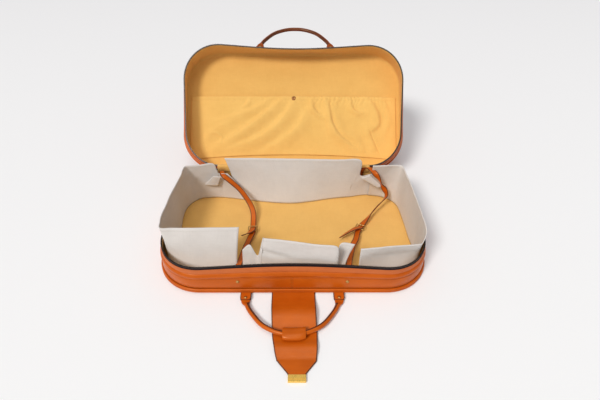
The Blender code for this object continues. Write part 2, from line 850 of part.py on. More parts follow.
def add_canvas(bench, name, table, parent):
    """A standing canvas wall: each row of the table is one upright of the cloth."""
    foot_z = FLOOR_TOP + CANVAS_THICKNESS / 2
    rows = []
    for level in range(CANVAS_ROWS, -1, -1):
        share = level / CANVAS_ROWS
        rows.append(
            [
                (
                    mixed(foot_x, top_x, share**2) * CASE_WIDTH / 2,
                    mixed(foot_y, top_y, share) * CASE_DEPTH / 2,
                    foot_z + top_z * share * CANVAS_HEIGHT,
                )
                for foot_x, foot_y, top_x, top_y, top_z in table
            ]
        )
    part = bench.add(name, sheet_mesh(name, rows), "canvas", parent)
    thicken(part, CANVAS_THICKNESS, 0)


def route_points(table):
    """A strap's stations in metres and radians."""
    return [
        (
            x * CASE_WIDTH / 2,
            y * CASE_DEPTH / 2,
            z * BASE_HEIGHT,
            math.radians(heading),
            math.radians(roll),
        )
        for x, y, z, heading, roll in table
    ]


def add_strap(bench, name, stations, finish, parent, pointed=False):
    """A flat strap along stations of place, heading of its width and roll."""
    line = smooth_line(stations, STRAP_STEPS)
    places = [Vector(station[:3]) for station in line]
    rows = []
    for index, station in enumerate(line):
        ahead = places[min(index + 1, len(places) - 1)] - places[max(index - 1, 0)]
        ahead.normalize()
        across = Vector((math.cos(station[3]), math.sin(station[3]), 0))
        across -= ahead * across.dot(ahead)
        across.normalize()
        across.rotate(Matrix.Rotation(station[4], 3, ahead))
        half = STRAP_WIDTH / 2
        if pointed and index == len(line) - 1:
            half = STRAP_THICKNESS / 2
        rows.append([tuple(places[index] - across * half), tuple(places[index] + across * half)])
    strap = bench.add(name, sheet_mesh(name, rows), finish, parent)
    thicken(strap, STRAP_THICKNESS, 0, even=False)
    return strap


def buckle_place(shares, heading):
    x, y, z = shares
    place = shift(x * CASE_WIDTH / 2, y * CASE_DEPTH / 2, z * BASE_HEIGHT)
    return place @ turn(math.radians(heading), "Z")


def buckle_stations(place, heading, run, rise):
    """A strap station in a buckle's frame, whose Y runs along the strap."""
    point = place @ Vector((0, run, rise))
    return (*point, math.radians(heading), 0)


def add_buckle(bench, side, place, parent):
    """The buckle's wire frame and its prong. Returns the cutter of the prong's hole."""
    half_length = BUCKLE_LENGTH / 2
    half_width = BUCKLE_WIDTH / 2
    turn_radius = 2 * BUCKLE_WIRE_RADIUS
    loop = []
    for centre_x, centre_y, start in ((1, 1, 0), (-1, 1, 90), (-1, -1, 180), (1, -1, 270)):
        for step in range(3):
            angle = math.radians(start + 45 * step)
            loop.append(
                (
                    centre_x * (half_width - turn_radius) + turn_radius * math.cos(angle),
                    centre_y * (half_length - turn_radius) + turn_radius * math.sin(angle),
                    0,
                )
            )
    frame_name = f"{side}_buckle_frame"
    bench.add(frame_name, tube_curve(frame_name, loop, BUCKLE_WIRE_RADIUS, True), "brass", parent, place)
    line = [
        (0, run * BUCKLE_LENGTH, rise * BUCKLE_STRAP_RISE)
        for run, rise in zip(PRONG_RUN_SHARES, PRONG_RISE_SHARES)
    ]
    prong_name = f"{side}_buckle_prong"
    bench.add(prong_name, tube_curve(prong_name, line, PRONG_RADIUS), "brass", parent, place)
    hole = tube_mesh(f"{side}_prong_hole", line, PRONG_HOLE_RADIUS)
    return bench.add_cutter(f"{side}_prong_hole", hole, parent, place)


def add_packing_strap(bench, side, tables, seats, buckle, parent, wall_parts):
    """A rear strap with its tail through the buckle, and a front strap that is studded to the wall."""
    rear_table, tail_table, front_table = tables
    rear_x, stud_x = (share * CASE_WIDTH / 2 for share in seats)
    place = buckle_place(*buckle)
    heading = buckle[1]
    hole = add_buckle(bench, side, place, parent)
    rear_y = BASE.plan_at(STRAP_REAR_SEAT).half_depth - STRAP_DEPTH
    bar = BUCKLE_LENGTH / 2
    rear_route = [
        (rear_x, rear_y, STRAP_REAR_SEAT - STRAP_END, 0, 0),
        (rear_x, rear_y, STRAP_REAR_SEAT + STRAP_END, 0, 0),
        (rear_x, rear_y, STRAP_REAR_SEAT + 3 * STRAP_END, 0, 0),
        *route_points(rear_table),
        buckle_stations(place, heading, bar, -BUCKLE_STRAP_RISE),
        buckle_stations(place, heading, 0, 0),
        buckle_stations(place, heading, -bar, BUCKLE_STRAP_RISE),
        *route_points(tail_table),
    ]
    rear = add_strap(bench, f"{side}_strap_rear", rear_route, "leather", parent, pointed=True)
    cut(rear, hole)
    above = BASE.strap_seat(stud_x, STRAP_FRONT_SEAT + STRAP_END)
    seat = BASE.strap_seat(stud_x, STRAP_FRONT_SEAT)
    below = BASE.strap_seat(stud_x, STRAP_FRONT_SEAT - STRAP_END)
    end_run = -bar - BUCKLE_WIRE_RADIUS - 3 * GAP
    front_route = [
        buckle_stations(place, heading, end_run, -BUCKLE_END_DROP),
        buckle_stations(place, heading, end_run - STRAP_END / 2, -BUCKLE_END_DROP),
        *route_points(front_table),
        (*above, 0, 0),
        (*seat, 0, 0),
        (*below, 0, 0),
    ]
    front = add_strap(bench, f"{side}_strap_front", front_route, "leather", parent)
    face = BASE.front_face(stud_x, STRAP_FRONT_SEAT)
    out = BASE.front_normal(stud_x, STRAP_FRONT_SEAT)
    stack = (face - seat).length + STRAP_THICKNESS / 2 + GAP
    place = shift(*face) @ out.to_track_quat("Z", "Y").to_matrix().to_4x4()
    add_rivet(bench, f"{side}_strap_rivet", stack, parent, place)
    add_rivet_hole(bench, f"{side}_strap_rivet_hole", stack, (front, *wall_parts), parent, place)


def rivet_profile(stack):
    """A rivet that clamps a stack below z = 0: a domed head above, a shank and a flat cap below."""
    cap = -stack - GAP
    return (
        (0, GAP + STUD_HEIGHT),
        (STUD_RADIUS * 0.6, GAP + STUD_HEIGHT * 0.8),
        (STUD_RADIUS * 0.95, GAP + STUD_HEIGHT * 0.3),
        (STUD_RADIUS, GAP),
        (STUD_SHANK_RADIUS, GAP),
        (STUD_SHANK_RADIUS, cap),
        (STUD_CAP_RADIUS, cap),
        (STUD_CAP_RADIUS, cap - STUD_CAP_THICKNESS),
        (0, cap - STUD_CAP_THICKNESS),
    )


def add_rivet(bench, name, stack, parent, place):
    turned(bench, name, rivet_profile(stack), "brass", parent, place)


def add_rivet_hole(bench, name, stack, parts, parent, place):
    """Cuts the rivet's hole, with its clearance, through each part."""
    mesh = cylinder_mesh(name, STUD_SHANK_RADIUS + GAP, stack + 2 * CUT_OVERRUN)
    cutter = bench.add_cutter(name, mesh, parent, place @ shift(z=-stack / 2))
    for part in parts:
        cut(part, cutter)


def add_notch(bench, name, panel, x, width, root_length, parent):
    """Cuts the panel's front edge away round a leather root that lies flush in it."""
    front = -CASE_DEPTH / 2 - CUT_OVERRUN
    rear = -CASE_DEPTH / 2 + root_length + GAP
    size = (width + 2 * GAP, rear - front, PANEL_THICKNESS + 2 * CUT_OVERRUN)
    mesh = box_mesh(name, size, (x, (front + rear) / 2, PANEL_THICKNESS / 2))
    cut(panel, bench.add_cutter(name, mesh, parent))


def add_root(bench, name, panel, x, width, length, end, parent):
    """A flat leather root, let into the panel's front edge, that ends at a distance from the brim."""
    add_notch(bench, f"{name}_notch", panel, x, width, length, parent)
    rear = -CASE_DEPTH / 2 + length
    front = -CASE_DEPTH / 2 - end
    size = (width, rear - front, PANEL_THICKNESS)
    bench.add(name, box_mesh(name, size, (x, (front + rear) / 2, PANEL_THICKNESS / 2)), "leather", parent)


def tongue_run(share):
    """The run of a row of the tongue, whose hollow stays under the front handle's sleeve."""
    length = TONGUE_FOLD_LENGTH - 2 * FOLD_GAP
    under_sleeve = HANDLE_REACH * math.cos(FRONT_HANDLE_TILT) + HANDLE_HINGE_Y - TONGUE_HINGE_Y
    if share < SLEEVE_SHARE:
        return under_sleeve * share / SLEEVE_SHARE
    return mixed(under_sleeve, length, (share - SLEEVE_SHARE) / (1 - SLEEVE_SHARE))


def add_tongue(bench, panel, base):
    """The closing tongue: its root under the board, two stretches of leather and the brass end."""
    root_end = TONGUE_HINGE_Y - FOLD_GAP
    add_root(
        bench, "tongue_root", panel, 0, 2 * TONGUE_HALF_WIDTH, TONGUE_ROOT_LENGTH, root_end, base
    )
    lower_frame = bench.add_frame(
        "tongue_base_fold", base, shift(y=TONGUE_FOLD_Y, z=TONGUE_HINGE_HEIGHT)
    )
    rows = []
    for run, height, width in reversed(TONGUE_ROW_SHARES):
        half_width = width * TONGUE_HALF_WIDTH
        drift = TONGUE_DRIFT * run**2
        y = -FOLD_GAP - tongue_run(run)
        z = height * TONGUE_HUMP_HEIGHT - TONGUE_HINGE_HEIGHT
        rows.append([(drift - half_width, y, z), (drift, y, z), (drift + half_width, y, z)])
    flap = bench.add(
        "tongue_lower_flap", sheet_mesh("tongue_lower_flap", rows), "leather", lower_frame
    )
    thicken(flap, TONGUE_THICKNESS, -1)
    tip_top = TONGUE_TIP_BASE + TONGUE_THICKNESS
    edge_height = tip_top + GAP
    upper_frame = bench.add_frame(
        "tongue_edge_fold",
        lower_frame,
        shift(y=-TONGUE_FOLD_LENGTH, z=edge_height - TONGUE_HINGE_HEIGHT),
    )
    add_tongue_tip(bench, upper_frame, tip_top - edge_height)


def add_tongue_tip(bench, frame, top):
    """The tapered end of the tongue and its brass clip, in the frame of the fold before them."""
    edge_half = TONGUE_ROW_SHARES[-1][2] * TONGUE_HALF_WIDTH
    clip_front = -TONGUE_TIP_LENGTH
    tip_rows = (
        (-TONGUE_TIP_LENGTH - CLIP_OVERLAP + 4 * GAP, TONGUE_TIP_HALF_WIDTH - CLIP_THICKNESS / 2),
        (clip_front, TONGUE_TIP_HALF_WIDTH),
        (mixed(clip_front, -FOLD_GAP, 0.5), mixed(TONGUE_TIP_HALF_WIDTH, edge_half, 0.46)),
        (-FOLD_GAP, edge_half),
    )
    rows = [
        [(TONGUE_DRIFT - half, y, top), (TONGUE_DRIFT, y, top), (TONGUE_DRIFT + half, y, top)]
        for y, half in tip_rows
    ]
    flap = bench.add("tongue_upper_flap", sheet_mesh("tongue_upper_flap", rows), "leather", frame)
    thicken(flap, TONGUE_THICKNESS, -1)
    middle = top - TONGUE_THICKNESS / 2
    clip_place = shift(TONGUE_DRIFT, clip_front - CLIP_LENGTH / 2 + 2 * GAP, middle)
    clip = bench.add(
        "tongue_clip",
        box_mesh("tongue_clip", (CLIP_WIDTH, CLIP_LENGTH, CLIP_THICKNESS)),
        "brass",
        frame,
        clip_place,
    )
    round_edges(clip, CLIP_BEVEL)
    slot_size = (CLIP_WIDTH + CUT_OVERRUN, 2 * CLIP_OVERLAP, TONGUE_THICKNESS + 2 * GAP)
    slot = box_mesh("clip_slot", slot_size, (0, CLIP_LENGTH / 2, 0))
    cut(clip, bench.add_cutter("clip_slot", slot, frame, clip_place))
    groove_size = (CLIP_WIDTH + CUT_OVERRUN, 2 * CLIP_GROOVE, 2 * CLIP_GROOVE)
    groove = box_mesh("clip_groove", groove_size, (0, -CLIP_LENGTH / 6, CLIP_THICKNESS / 2))
    cut(clip, bench.add_cutter("clip_groove", groove, frame, clip_place))


def handle_line():
    """The handle's centre line from its right tab to its left one, as x and run."""
    right = [(x * HANDLE_HALF_WIDTH, run * HANDLE_REACH) for x, run in HANDLE_LINE_SHARES]
    left = [(-x, run) for x, run in reversed(right[:-1])]
    return smooth_line(right + left, HANDLE_STEPS)


def grip_section(centre, across, half_width, half_thickness, squareness):
    """One closed section of the handle, round where squareness is 1 and oblong below it."""
    section = []
    for side in range(HANDLE_SIDES):
        angle = 2 * math.pi * (side + 0.5) / HANDLE_SIDES
        c, s = math.cos(angle), math.sin(angle)
        offset = across * math.copysign(abs(c) ** squareness, c) * half_width
        offset.z += math.copysign(abs(s) ** squareness, s) * half_thickness
        section.append(tuple(centre + offset))
    return section


def grip_mesh(name, overall_radius=None):
    """The handle's grip: flat tabs that swell into a round bar."""
    line = handle_line()
    places = [Vector((x, -run, 0)) for x, run in line]
    tab_run = CHAPE_LENGTH + TAB_THICKNESS * 2
    round_run = tab_run + 2 * HANDLE_RADIUS
    sections = []
    for index, place in enumerate(places):
        ahead = places[min(index + 1, len(places) - 1)] - places[max(index - 1, 0)]
        across = Vector((ahead.y, -ahead.x, 0)).normalized()
        share = (-place.y - tab_run) / (round_run - tab_run)
        share = min(max(share, 0), 1)
        half_width = mixed(TAB_HALF_WIDTH, HANDLE_RADIUS, share)
        half_thickness = mixed(TAB_THICKNESS / 2, HANDLE_RADIUS, share)
        squareness = mixed(TAB_SQUARE_SHARE, 1, share)
        if overall_radius:
            half_width = half_thickness = overall_radius
            squareness = 1
        sections.append(grip_section(place, across, half_width, half_thickness, squareness))
    return loft_mesh(name, sections)


def add_chape_fold(bench, name, x, frame):
    """The doubled leather that folds with the handle: two layers joined round the fold line."""
    line = [(-run * CHAPE_LENGTH, CHAPE_BEND_RADIUS, width) for run, width in CHAPE_END_SHARES]
    bend = [
        (
            CHAPE_BEND_RADIUS * math.sin(math.radians(angle)),
            CHAPE_BEND_RADIUS * math.cos(math.radians(angle)),
            1,
        )
        for angle in (30, 60, 90, 120, 150)
    ]
    under = [(y, -z, width) for y, z, width in line]
    profile = [*reversed(line), *bend, *under]
    half = CHAPE_WIDTH / 2
    rows = [[(x - half * width, y, z), (x + half * width, y, z)] for y, z, width in profile]
    fold = bench.add(name, sheet_mesh(name, rows), "leather", frame)
    thicken(fold, CHAPE_LAYER, 0)
    return fold


def add_handle(bench, label, names, offset, tilt, panel, half_frame):
    """A handle on its fold line, with its chapes, rivets and grip."""
    place = shift(offset, HANDLE_FOLD_Y, HANDLE_HINGE_HEIGHT) @ turn(-tilt, "X")
    frame = bench.add_frame(names["joint"], half_frame, place)
    grip = bench.add(names["grip"], grip_mesh(names["grip"]), "leather", frame)
    stack = 2 * CHAPE_BEND_RADIUS + CHAPE_LAYER
    for side, sign in (("left", -1), ("right", 1)):
        world_side = side if label == "front" else {"left": "right", "right": "left"}[side]
        x = sign * HANDLE_HALF_WIDTH
        root = f"{label}_{world_side}_chape_root"
        add_root(
            bench,
            root,
            panel,
            offset + x,
            CHAPE_WIDTH,
            CHAPE_ROOT_LENGTH,
            -CHAPE_ROOT_END,
            half_frame,
        )
        fold = add_chape_fold(bench, f"{label}_{world_side}_chape_fold", x, frame)
        rivet_place = shift(x, -CHAPE_RIVET_RUN, stack / 2)
        rivet = f"{label}_{world_side}_chape_rivet"
        add_rivet(bench, rivet, stack, frame, rivet_place)
        add_rivet_hole(bench, f"{rivet}_hole", stack, (fold, grip), frame, rivet_place)
    return frame


def add_sleeve(bench, frame):
    """The leather sleeve round the middle of the front handle."""
    line = [(x, run) for x, run in handle_line() if abs(x) < SLEEVE_LENGTH / 2]
    ends = [(SLEEVE_LENGTH / 2, line[0][1]), (-SLEEVE_LENGTH / 2, line[-1][1])]
    stations = [ends[0], *line, ends[1]]
    sections = []
    for x, run in stations:
        swell = 1 - 0.10 * (2 * abs(x) / SLEEVE_LENGTH) ** 6
        section = []
        for side in range(SLEEVE_SIDES):
            angle = 2 * math.pi * side / SLEEVE_SIDES
            section.append(
                (
                    x,
                    -run + SLEEVE_HALF_WIDTH * swell * math.cos(angle),
                    SLEEVE_HALF_THICKNESS * swell * math.sin(angle),
                )
            )
        sections.append(section)
    sleeve = bench.add(
        "front_handle_sleeve", loft_mesh("front_handle_sleeve", sections), "leather", frame
    )
    bore = grip_mesh("sleeve_bore", HANDLE_RADIUS + GAP)
    cut(sleeve, bench.add_cutter("sleeve_bore", bore, frame))


def add_pocket(bench, lid):
    """The gathered pocket on the lid's lining, open at its hem, and its press stud."""
    floor = FLOOR_TOP + GAP
    rows = []
    for row in range(POCKET_ROWS + 1):
        share = row / POCKET_ROWS
        distance = mixed(POCKET_HEM, POCKET_FOOT, share)
        half_width = mixed(POCKET_HALF_WIDTH, POCKET_FOOT_HALF_WIDTH, share**4)
        opening = POCKET_MOUTH * (1 - share) ** 0.7 * (1 if share < 1 else 0)
        points = []
        for column in range(POCKET_COLUMNS + 1):
            side = 2 * column / POCKET_COLUMNS - 1
            crown = 1 - abs(side) ** 3
            gather = POCKET_GATHER * math.sin(7 * math.pi * side + 3 * share) * crown
            lift = (opening + gather * math.sin(math.pi * share)) * crown
            points.append((side * half_width, HINGE_Y - distance, floor + lift + POCKET_THICKNESS / 2))
        rows.append(points)
    pocket = bench.add("lid_pocket", sheet_mesh("lid_pocket", rows), "cotton", lid)
    thicken(pocket, POCKET_THICKNESS, 0)
    height = floor + POCKET_MOUTH + POCKET_THICKNESS + GAP
    place = shift(0, HINGE_Y - POCKET_HEM + 2 * SNAP_RADIUS, height)
    profile = (
        (0, SNAP_HEIGHT),
        (SNAP_RADIUS * 0.55, SNAP_HEIGHT * 0.85),
        (SNAP_RADIUS * 0.9, SNAP_HEIGHT * 0.5),
        (SNAP_RADIUS, 0),
        (SNAP_POST_RADIUS, 0),
        (SNAP_POST_RADIUS, -SNAP_POST_LENGTH),
        (0, -SNAP_POST_LENGTH),
    )
    turned(bench, "pocket_snap", profile, "brass", lid, place)
    hole = cylinder_mesh("snap_hole", SNAP_POST_RADIUS + GAP, 2 * SNAP_POST_LENGTH)
    cut(pocket, bench.add_cutter("snap_hole", hole, lid, place))


def add_catch(bench, lid):
    """The catch that the tongue's brass end meets, and its sprung button, on the lid's outer face."""
    front = -CASE_DEPTH / 2 + CATCH_FRONT
    plate_z = -GAP - CATCH_PLATE_THICKNESS
    x = -TONGUE_DRIFT
    size = (CATCH_WIDTH, CATCH_LENGTH, CATCH_PLATE_THICKNESS)
    place = shift(x, front + CATCH_LENGTH / 2, plate_z + CATCH_PLATE_THICKNESS / 2)
    catch = bench.add("catch_plate", box_mesh("catch_plate", size), "brass", lid, place)
    body_size = (
        CATCH_WIDTH - 2 * CATCH_PLATE_THICKNESS,
        CATCH_BODY_LENGTH,
        CATCH_BODY_HEIGHT + CATCH_PLATE_THICKNESS / 2,
    )
    body_y = front + CATCH_LENGTH - CATCH_BODY_LENGTH / 2 - CATCH_PLATE_THICKNESS
    body_z = plate_z + CATCH_PLATE_THICKNESS / 2 - body_size[2] / 2
    body = bench.add_cutter("catch_body", box_mesh("catch_body", body_size), lid, shift(x, body_y, body_z))
    cut(catch, body, "UNION")
    round_edges(catch, CATCH_BEVEL, 1)
    bore_depth = 2 * (body_size[2] + CUT_OVERRUN)
    bore = cylinder_mesh("button_bore", BUTTON_RADIUS + BUTTON_CLEARANCE, bore_depth)
    cut(catch, bench.add_cutter("button_bore", bore, lid, shift(x, body_y, plate_z)))
    outer_z = plate_z - CATCH_BODY_HEIGHT - BUTTON_PROUD
    inner_z = plate_z - BUTTON_PROUD + CATCH_PLATE_THICKNESS / 2
    button_frame = bench.add_frame("catch_button_slide", lid, shift(x, body_y, outer_z))
    button = bench.add(
        "catch_button",
        cylinder_mesh("catch_button", BUTTON_RADIUS, inner_z - outer_z),
        "brass",
        button_frame,
        shift(z=(inner_z - outer_z) / 2),
    )
    round_edges(button, BUTTON_BEVEL, 1)


def add_zip_slider(bench, base):
    """The zip's slider and pull, half way round the rear right corner."""
    index = -HALF_REAR_SPANS - CORNER_STEPS // 2
    plan = BASE.plan_at(BASE.tape_z())
    before, here, after = (Vector((*plan.outline()[index + step], 0)) for step in (-1, 0, 1))
    along = (after - before).normalized()
    out = Vector((along.y, -along.x, 0))
    facing = Matrix((along, -out, Vector((0, 0, 1)))).transposed().to_4x4()
    standoff = 2 * GAP
    centre = here + out * (standoff + SLIDER_DEPTH / 2)
    centre.z = BASE_HEIGHT - SLIDER_HEIGHT / 2
    slider = bench.add(
        "zip_slider",
        box_mesh("zip_slider", (SLIDER_LENGTH, SLIDER_DEPTH, SLIDER_HEIGHT)),
        "brass",
        base,
        shift(*centre) @ facing,
    )
    round_edges(slider, SLIDER_BEVEL)
    hinge = here + out * (standoff + SLIDER_DEPTH + PULL_STANDOFF + PULL_THICKNESS / 2)
    hinge.z = BASE_HEIGHT - SLIDER_HEIGHT / 3
    pull_frame = bench.add_frame("zip_pull_swing", base, shift(*hinge) @ facing)
    pull = bench.add(
        "zip_pull",
        box_mesh("zip_pull", (PULL_WIDTH, PULL_THICKNESS, PULL_LENGTH)),
        "brass",
        pull_frame,
        shift(z=PULL_DROP - PULL_LENGTH / 2),
    )
    round_edges(pull, PULL_BEVEL, 1)


def build_base(bench):
    """Everything that stays with the base, in the world's frame, and what swings from it."""
    base = bench.add_frame("base", None)
    names = {
        "panel": "base_panel",
        "board": "base_board",
        "piping": "base_piping",
        "lining": "floor_lining",
        "gusset": "lower_gusset",
        "welt": "lower_welt",
        "facing": "lower_zip_facing",
        "tape": "lower_zip_tape",
        "wall_lining": "lower_wall_lining",
        "spine": "spine_lower_leaf",
    }
    parts = build_half(bench, BASE, names, base)
    add_spine_arch(bench, base)
    add_canvas(bench, "canvas_left_wrap", LEFT_WRAP_SHARES, base)
    add_canvas(bench, "canvas_front", FRONT_CANVAS_SHARES, base)
    add_canvas(bench, "canvas_right_wrap", RIGHT_WRAP_SHARES, base)
    add_canvas(bench, "canvas_rear", REAR_CANVAS_SHARES, base)
    wall_parts = (parts["gusset"], parts["wall_lining"])
    add_packing_strap(
        bench,
        "left",
        (LEFT_REAR_STRAP_SHARES, LEFT_TAIL_SHARES, LEFT_FRONT_STRAP_SHARES),
        LEFT_SEAT_SHARES,
        (LEFT_BUCKLE_SHARES, LEFT_BUCKLE_HEADING),
        base,
        wall_parts,
    )
    add_packing_strap(
        bench,
        "right",
        (RIGHT_REAR_STRAP_SHARES, RIGHT_TAIL_SHARES, RIGHT_FRONT_STRAP_SHARES),
        RIGHT_SEAT_SHARES,
        (RIGHT_BUCKLE_SHARES, RIGHT_BUCKLE_HEADING),
        base,
        wall_parts,
    )
    add_tongue(bench, parts["panel"], base)
    handle_names = {"joint": "front_handle_swing", "grip": "front_handle_grip"}
    handle = add_handle(
        bench, "front", handle_names, FRONT_HANDLE_OFFSET, FRONT_HANDLE_TILT, parts["panel"], base
    )
    add_sleeve(bench, handle)
    add_zip_slider(bench, base)


def build_lid(bench):
    """Everything that turns with the lid, in a frame that hangs open on the hinge."""
    hinge = bench.add_frame("lid_hinge", None, hinge_place())
    lid = bench.add_frame("lid", hinge, lid_place())
    names = {
        "panel": "lid_panel",
        "board": "lid_board",
        "piping": "lid_piping",
        "lining": "lid_lining",
        "gusset": "upper_gusset",
        "welt": "upper_welt",
        "facing": "upper_zip_facing",
        "tape": "upper_zip_tape",
        "wall_lining": "upper_wall_lining",
        "spine": "spine_upper_leaf",
    }
    parts = build_half(bench, LID, names, lid)
    add_pocket(bench, lid)
    handle_names = {"joint": "lid_handle_swing", "grip": "lid_handle_grip"}
    add_handle(bench, "lid", handle_names, -LID_HANDLE_OFFSET, LID_HANDLE_TILT, parts["panel"], lid)
    add_catch(bench, lid)


def main():
    clear_scene()
    bench = Bench()
    build_base(bench)
    build_lid(bench)


main()
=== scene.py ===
"""The looks of a leather suitcase that lies open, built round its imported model.

The case is two soft halves on a leather spine, with a zip round the other three sides, a closing
tongue in front, a carrying handle on each half, a mustard cotton lining, canvas dust walls and two
packing straps. Every length is in metres. Each half is modelled in its own frame, with its outer
face at z = 0, its mouth facing +Z and its front at -Y, and is then placed in the world.
"""

from __future__ import annotations

import json
import logging
import math
from dataclasses import astuple, dataclass, field
from enum import Enum
from typing import Iterable, Optional, Sequence

import bmesh
import bpy
import numpy as np
from mathutils import Matrix, Vector


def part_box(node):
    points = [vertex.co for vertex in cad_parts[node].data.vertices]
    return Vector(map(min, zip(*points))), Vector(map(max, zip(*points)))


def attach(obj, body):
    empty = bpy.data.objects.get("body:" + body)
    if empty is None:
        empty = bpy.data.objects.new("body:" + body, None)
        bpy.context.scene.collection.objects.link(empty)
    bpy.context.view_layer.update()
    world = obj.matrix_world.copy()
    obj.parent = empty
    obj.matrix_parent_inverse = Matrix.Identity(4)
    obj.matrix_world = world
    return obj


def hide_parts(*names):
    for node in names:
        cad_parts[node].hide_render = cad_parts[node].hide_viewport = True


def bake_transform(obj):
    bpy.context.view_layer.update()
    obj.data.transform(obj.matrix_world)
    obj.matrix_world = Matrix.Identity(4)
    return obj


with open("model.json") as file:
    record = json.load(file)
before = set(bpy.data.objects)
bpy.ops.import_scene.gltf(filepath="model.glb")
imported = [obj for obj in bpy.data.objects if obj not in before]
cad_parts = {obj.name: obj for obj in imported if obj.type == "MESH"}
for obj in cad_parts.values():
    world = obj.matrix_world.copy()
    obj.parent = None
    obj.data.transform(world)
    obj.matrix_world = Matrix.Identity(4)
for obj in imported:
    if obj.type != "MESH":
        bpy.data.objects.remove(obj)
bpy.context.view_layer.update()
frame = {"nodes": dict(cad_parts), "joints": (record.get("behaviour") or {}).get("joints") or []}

LOG = logging.getLogger("leather_suitcase")

Colour = tuple[float, float, float]
Rows = np.ndarray

# The whole case
CASE_WIDTH = 0.550
CASE_DEPTH = 0.308
BASE_HEIGHT = 0.070
LID_HEIGHT = 0.064
OPEN_ANGLE = math.radians(137)
HINGE_OFFSET = 0.0005
GAP = 0.0003
MOUTH_GAP = 0.001

# Outlines of the board's edge and of the mouth
PANEL_CORNER = 0.092
MOUTH_DRAW_IN = 0.006
MOUTH_SETBACK = 0.004
FRONT_MOUTH_CORNER = 0.093
REAR_MOUTH_CORNER = 0.080
REAR_TAPER = 0.016
FRONT_DIP = 0.013
FOOT_INSET = 0.0045

# Steps along an outline
CORNER_STEPS = 20
FRONT_STEPS = 48
SIDE_STEPS = 14
HALF_REAR_STEPS = 22

# Layers of the outer face and bands of the wall
PANEL_INSET = 0.0025
PANEL_THICKNESS = 0.0024
BOARD_THICKNESS = 0.0025
LINING_THICKNESS = 0.0012
PIPING_RADIUS = 0.0028
WELT_HEIGHT = 0.0129
FACING_HEIGHT = 0.0121
TAPE_HEIGHT = 0.0063

HINGE_Y = CASE_DEPTH / 2 + HINGE_OFFSET
HINGE_Z = BASE_HEIGHT + MOUTH_GAP / 2
BOARD_Z = PANEL_THICKNESS + GAP
LINING_Z = BOARD_Z + BOARD_THICKNESS + GAP
PIPING_Z = LINING_Z + PIPING_RADIUS
WALL_Z = PIPING_Z + PIPING_RADIUS + GAP
FLOOR_TOP = LINING_Z + LINING_THICKNESS

# Where the handles and the tongue fold, and how they lie
HANDLE_SETBACK = 0.0032
HANDLE_REACH = 0.0935
FRONT_HANDLE_TILT = math.radians(5.2)
LID_HANDLE_TILT = math.radians(-32)
TONGUE_SETBACK = 0.0045
TONGUE_HALF_WIDTH = 0.0425
CHAPE_ROOT_REACH = 0.026
TONGUE_ROOT_REACH = 0.034

# Limits of the mesh work
TINY = 1e-12
MERGE_DISTANCE = 1e-6
AXIS_RADIUS = 1e-5
SOFT_SHARP = 40
METAL_SHARP = 35

# Waves of a ripple
RIPPLE_WAVES = 4
RIPPLE_SPREAD = (0.8, 1.25)


class Run(Enum):
    """Which stretch of an outline a piece takes."""

    WHOLE = "the whole ring, from the middle of the rear"
    ZIP = "from the rear left corner round the front to the rear right one"
    SEAMED = "the whole ring, cut at a seam in front"
    REAR = "the straight stretch of the rear"


class Slot(Enum):
    """The record's material slots."""

    LEATHER = "leather"
    DARK_LEATHER = "dark_leather"
    LIGHT_LEATHER = "light_leather"
    COTTON = "cotton"
    CANVAS = "canvas"
    ZIP_TAPE = "zip_tape"
    BRASS = "brass"


def span(start: Sequence[float], end: Sequence[float], steps: int) -> Rows:
    """Points of a straight stretch, without its end.

    Args:
        start: The first point.
        end: The point that the stretch stops short of.
        steps: How many points.

    Returns:
        The points, one in each row.
    """
    shares = np.arange(steps)[:, None] / steps
    return np.array(start) + (np.array(end) - np.array(start)) * shares


def quarter(centre: Sequence[float], radius: float, start: float) -> Rows:
    """Points of a quarter circle, anticlockwise, without its end.

    Args:
        centre: The circle's centre.
        radius: Its radius.
        start: The first point's angle in degrees.

    Returns:
        The points, one in each row.
    """
    angles = np.radians(start + 90 * np.arange(CORNER_STEPS) / CORNER_STEPS)
    return np.array(centre) + radius * np.stack([np.cos(angles), np.sin(angles)], axis=1)


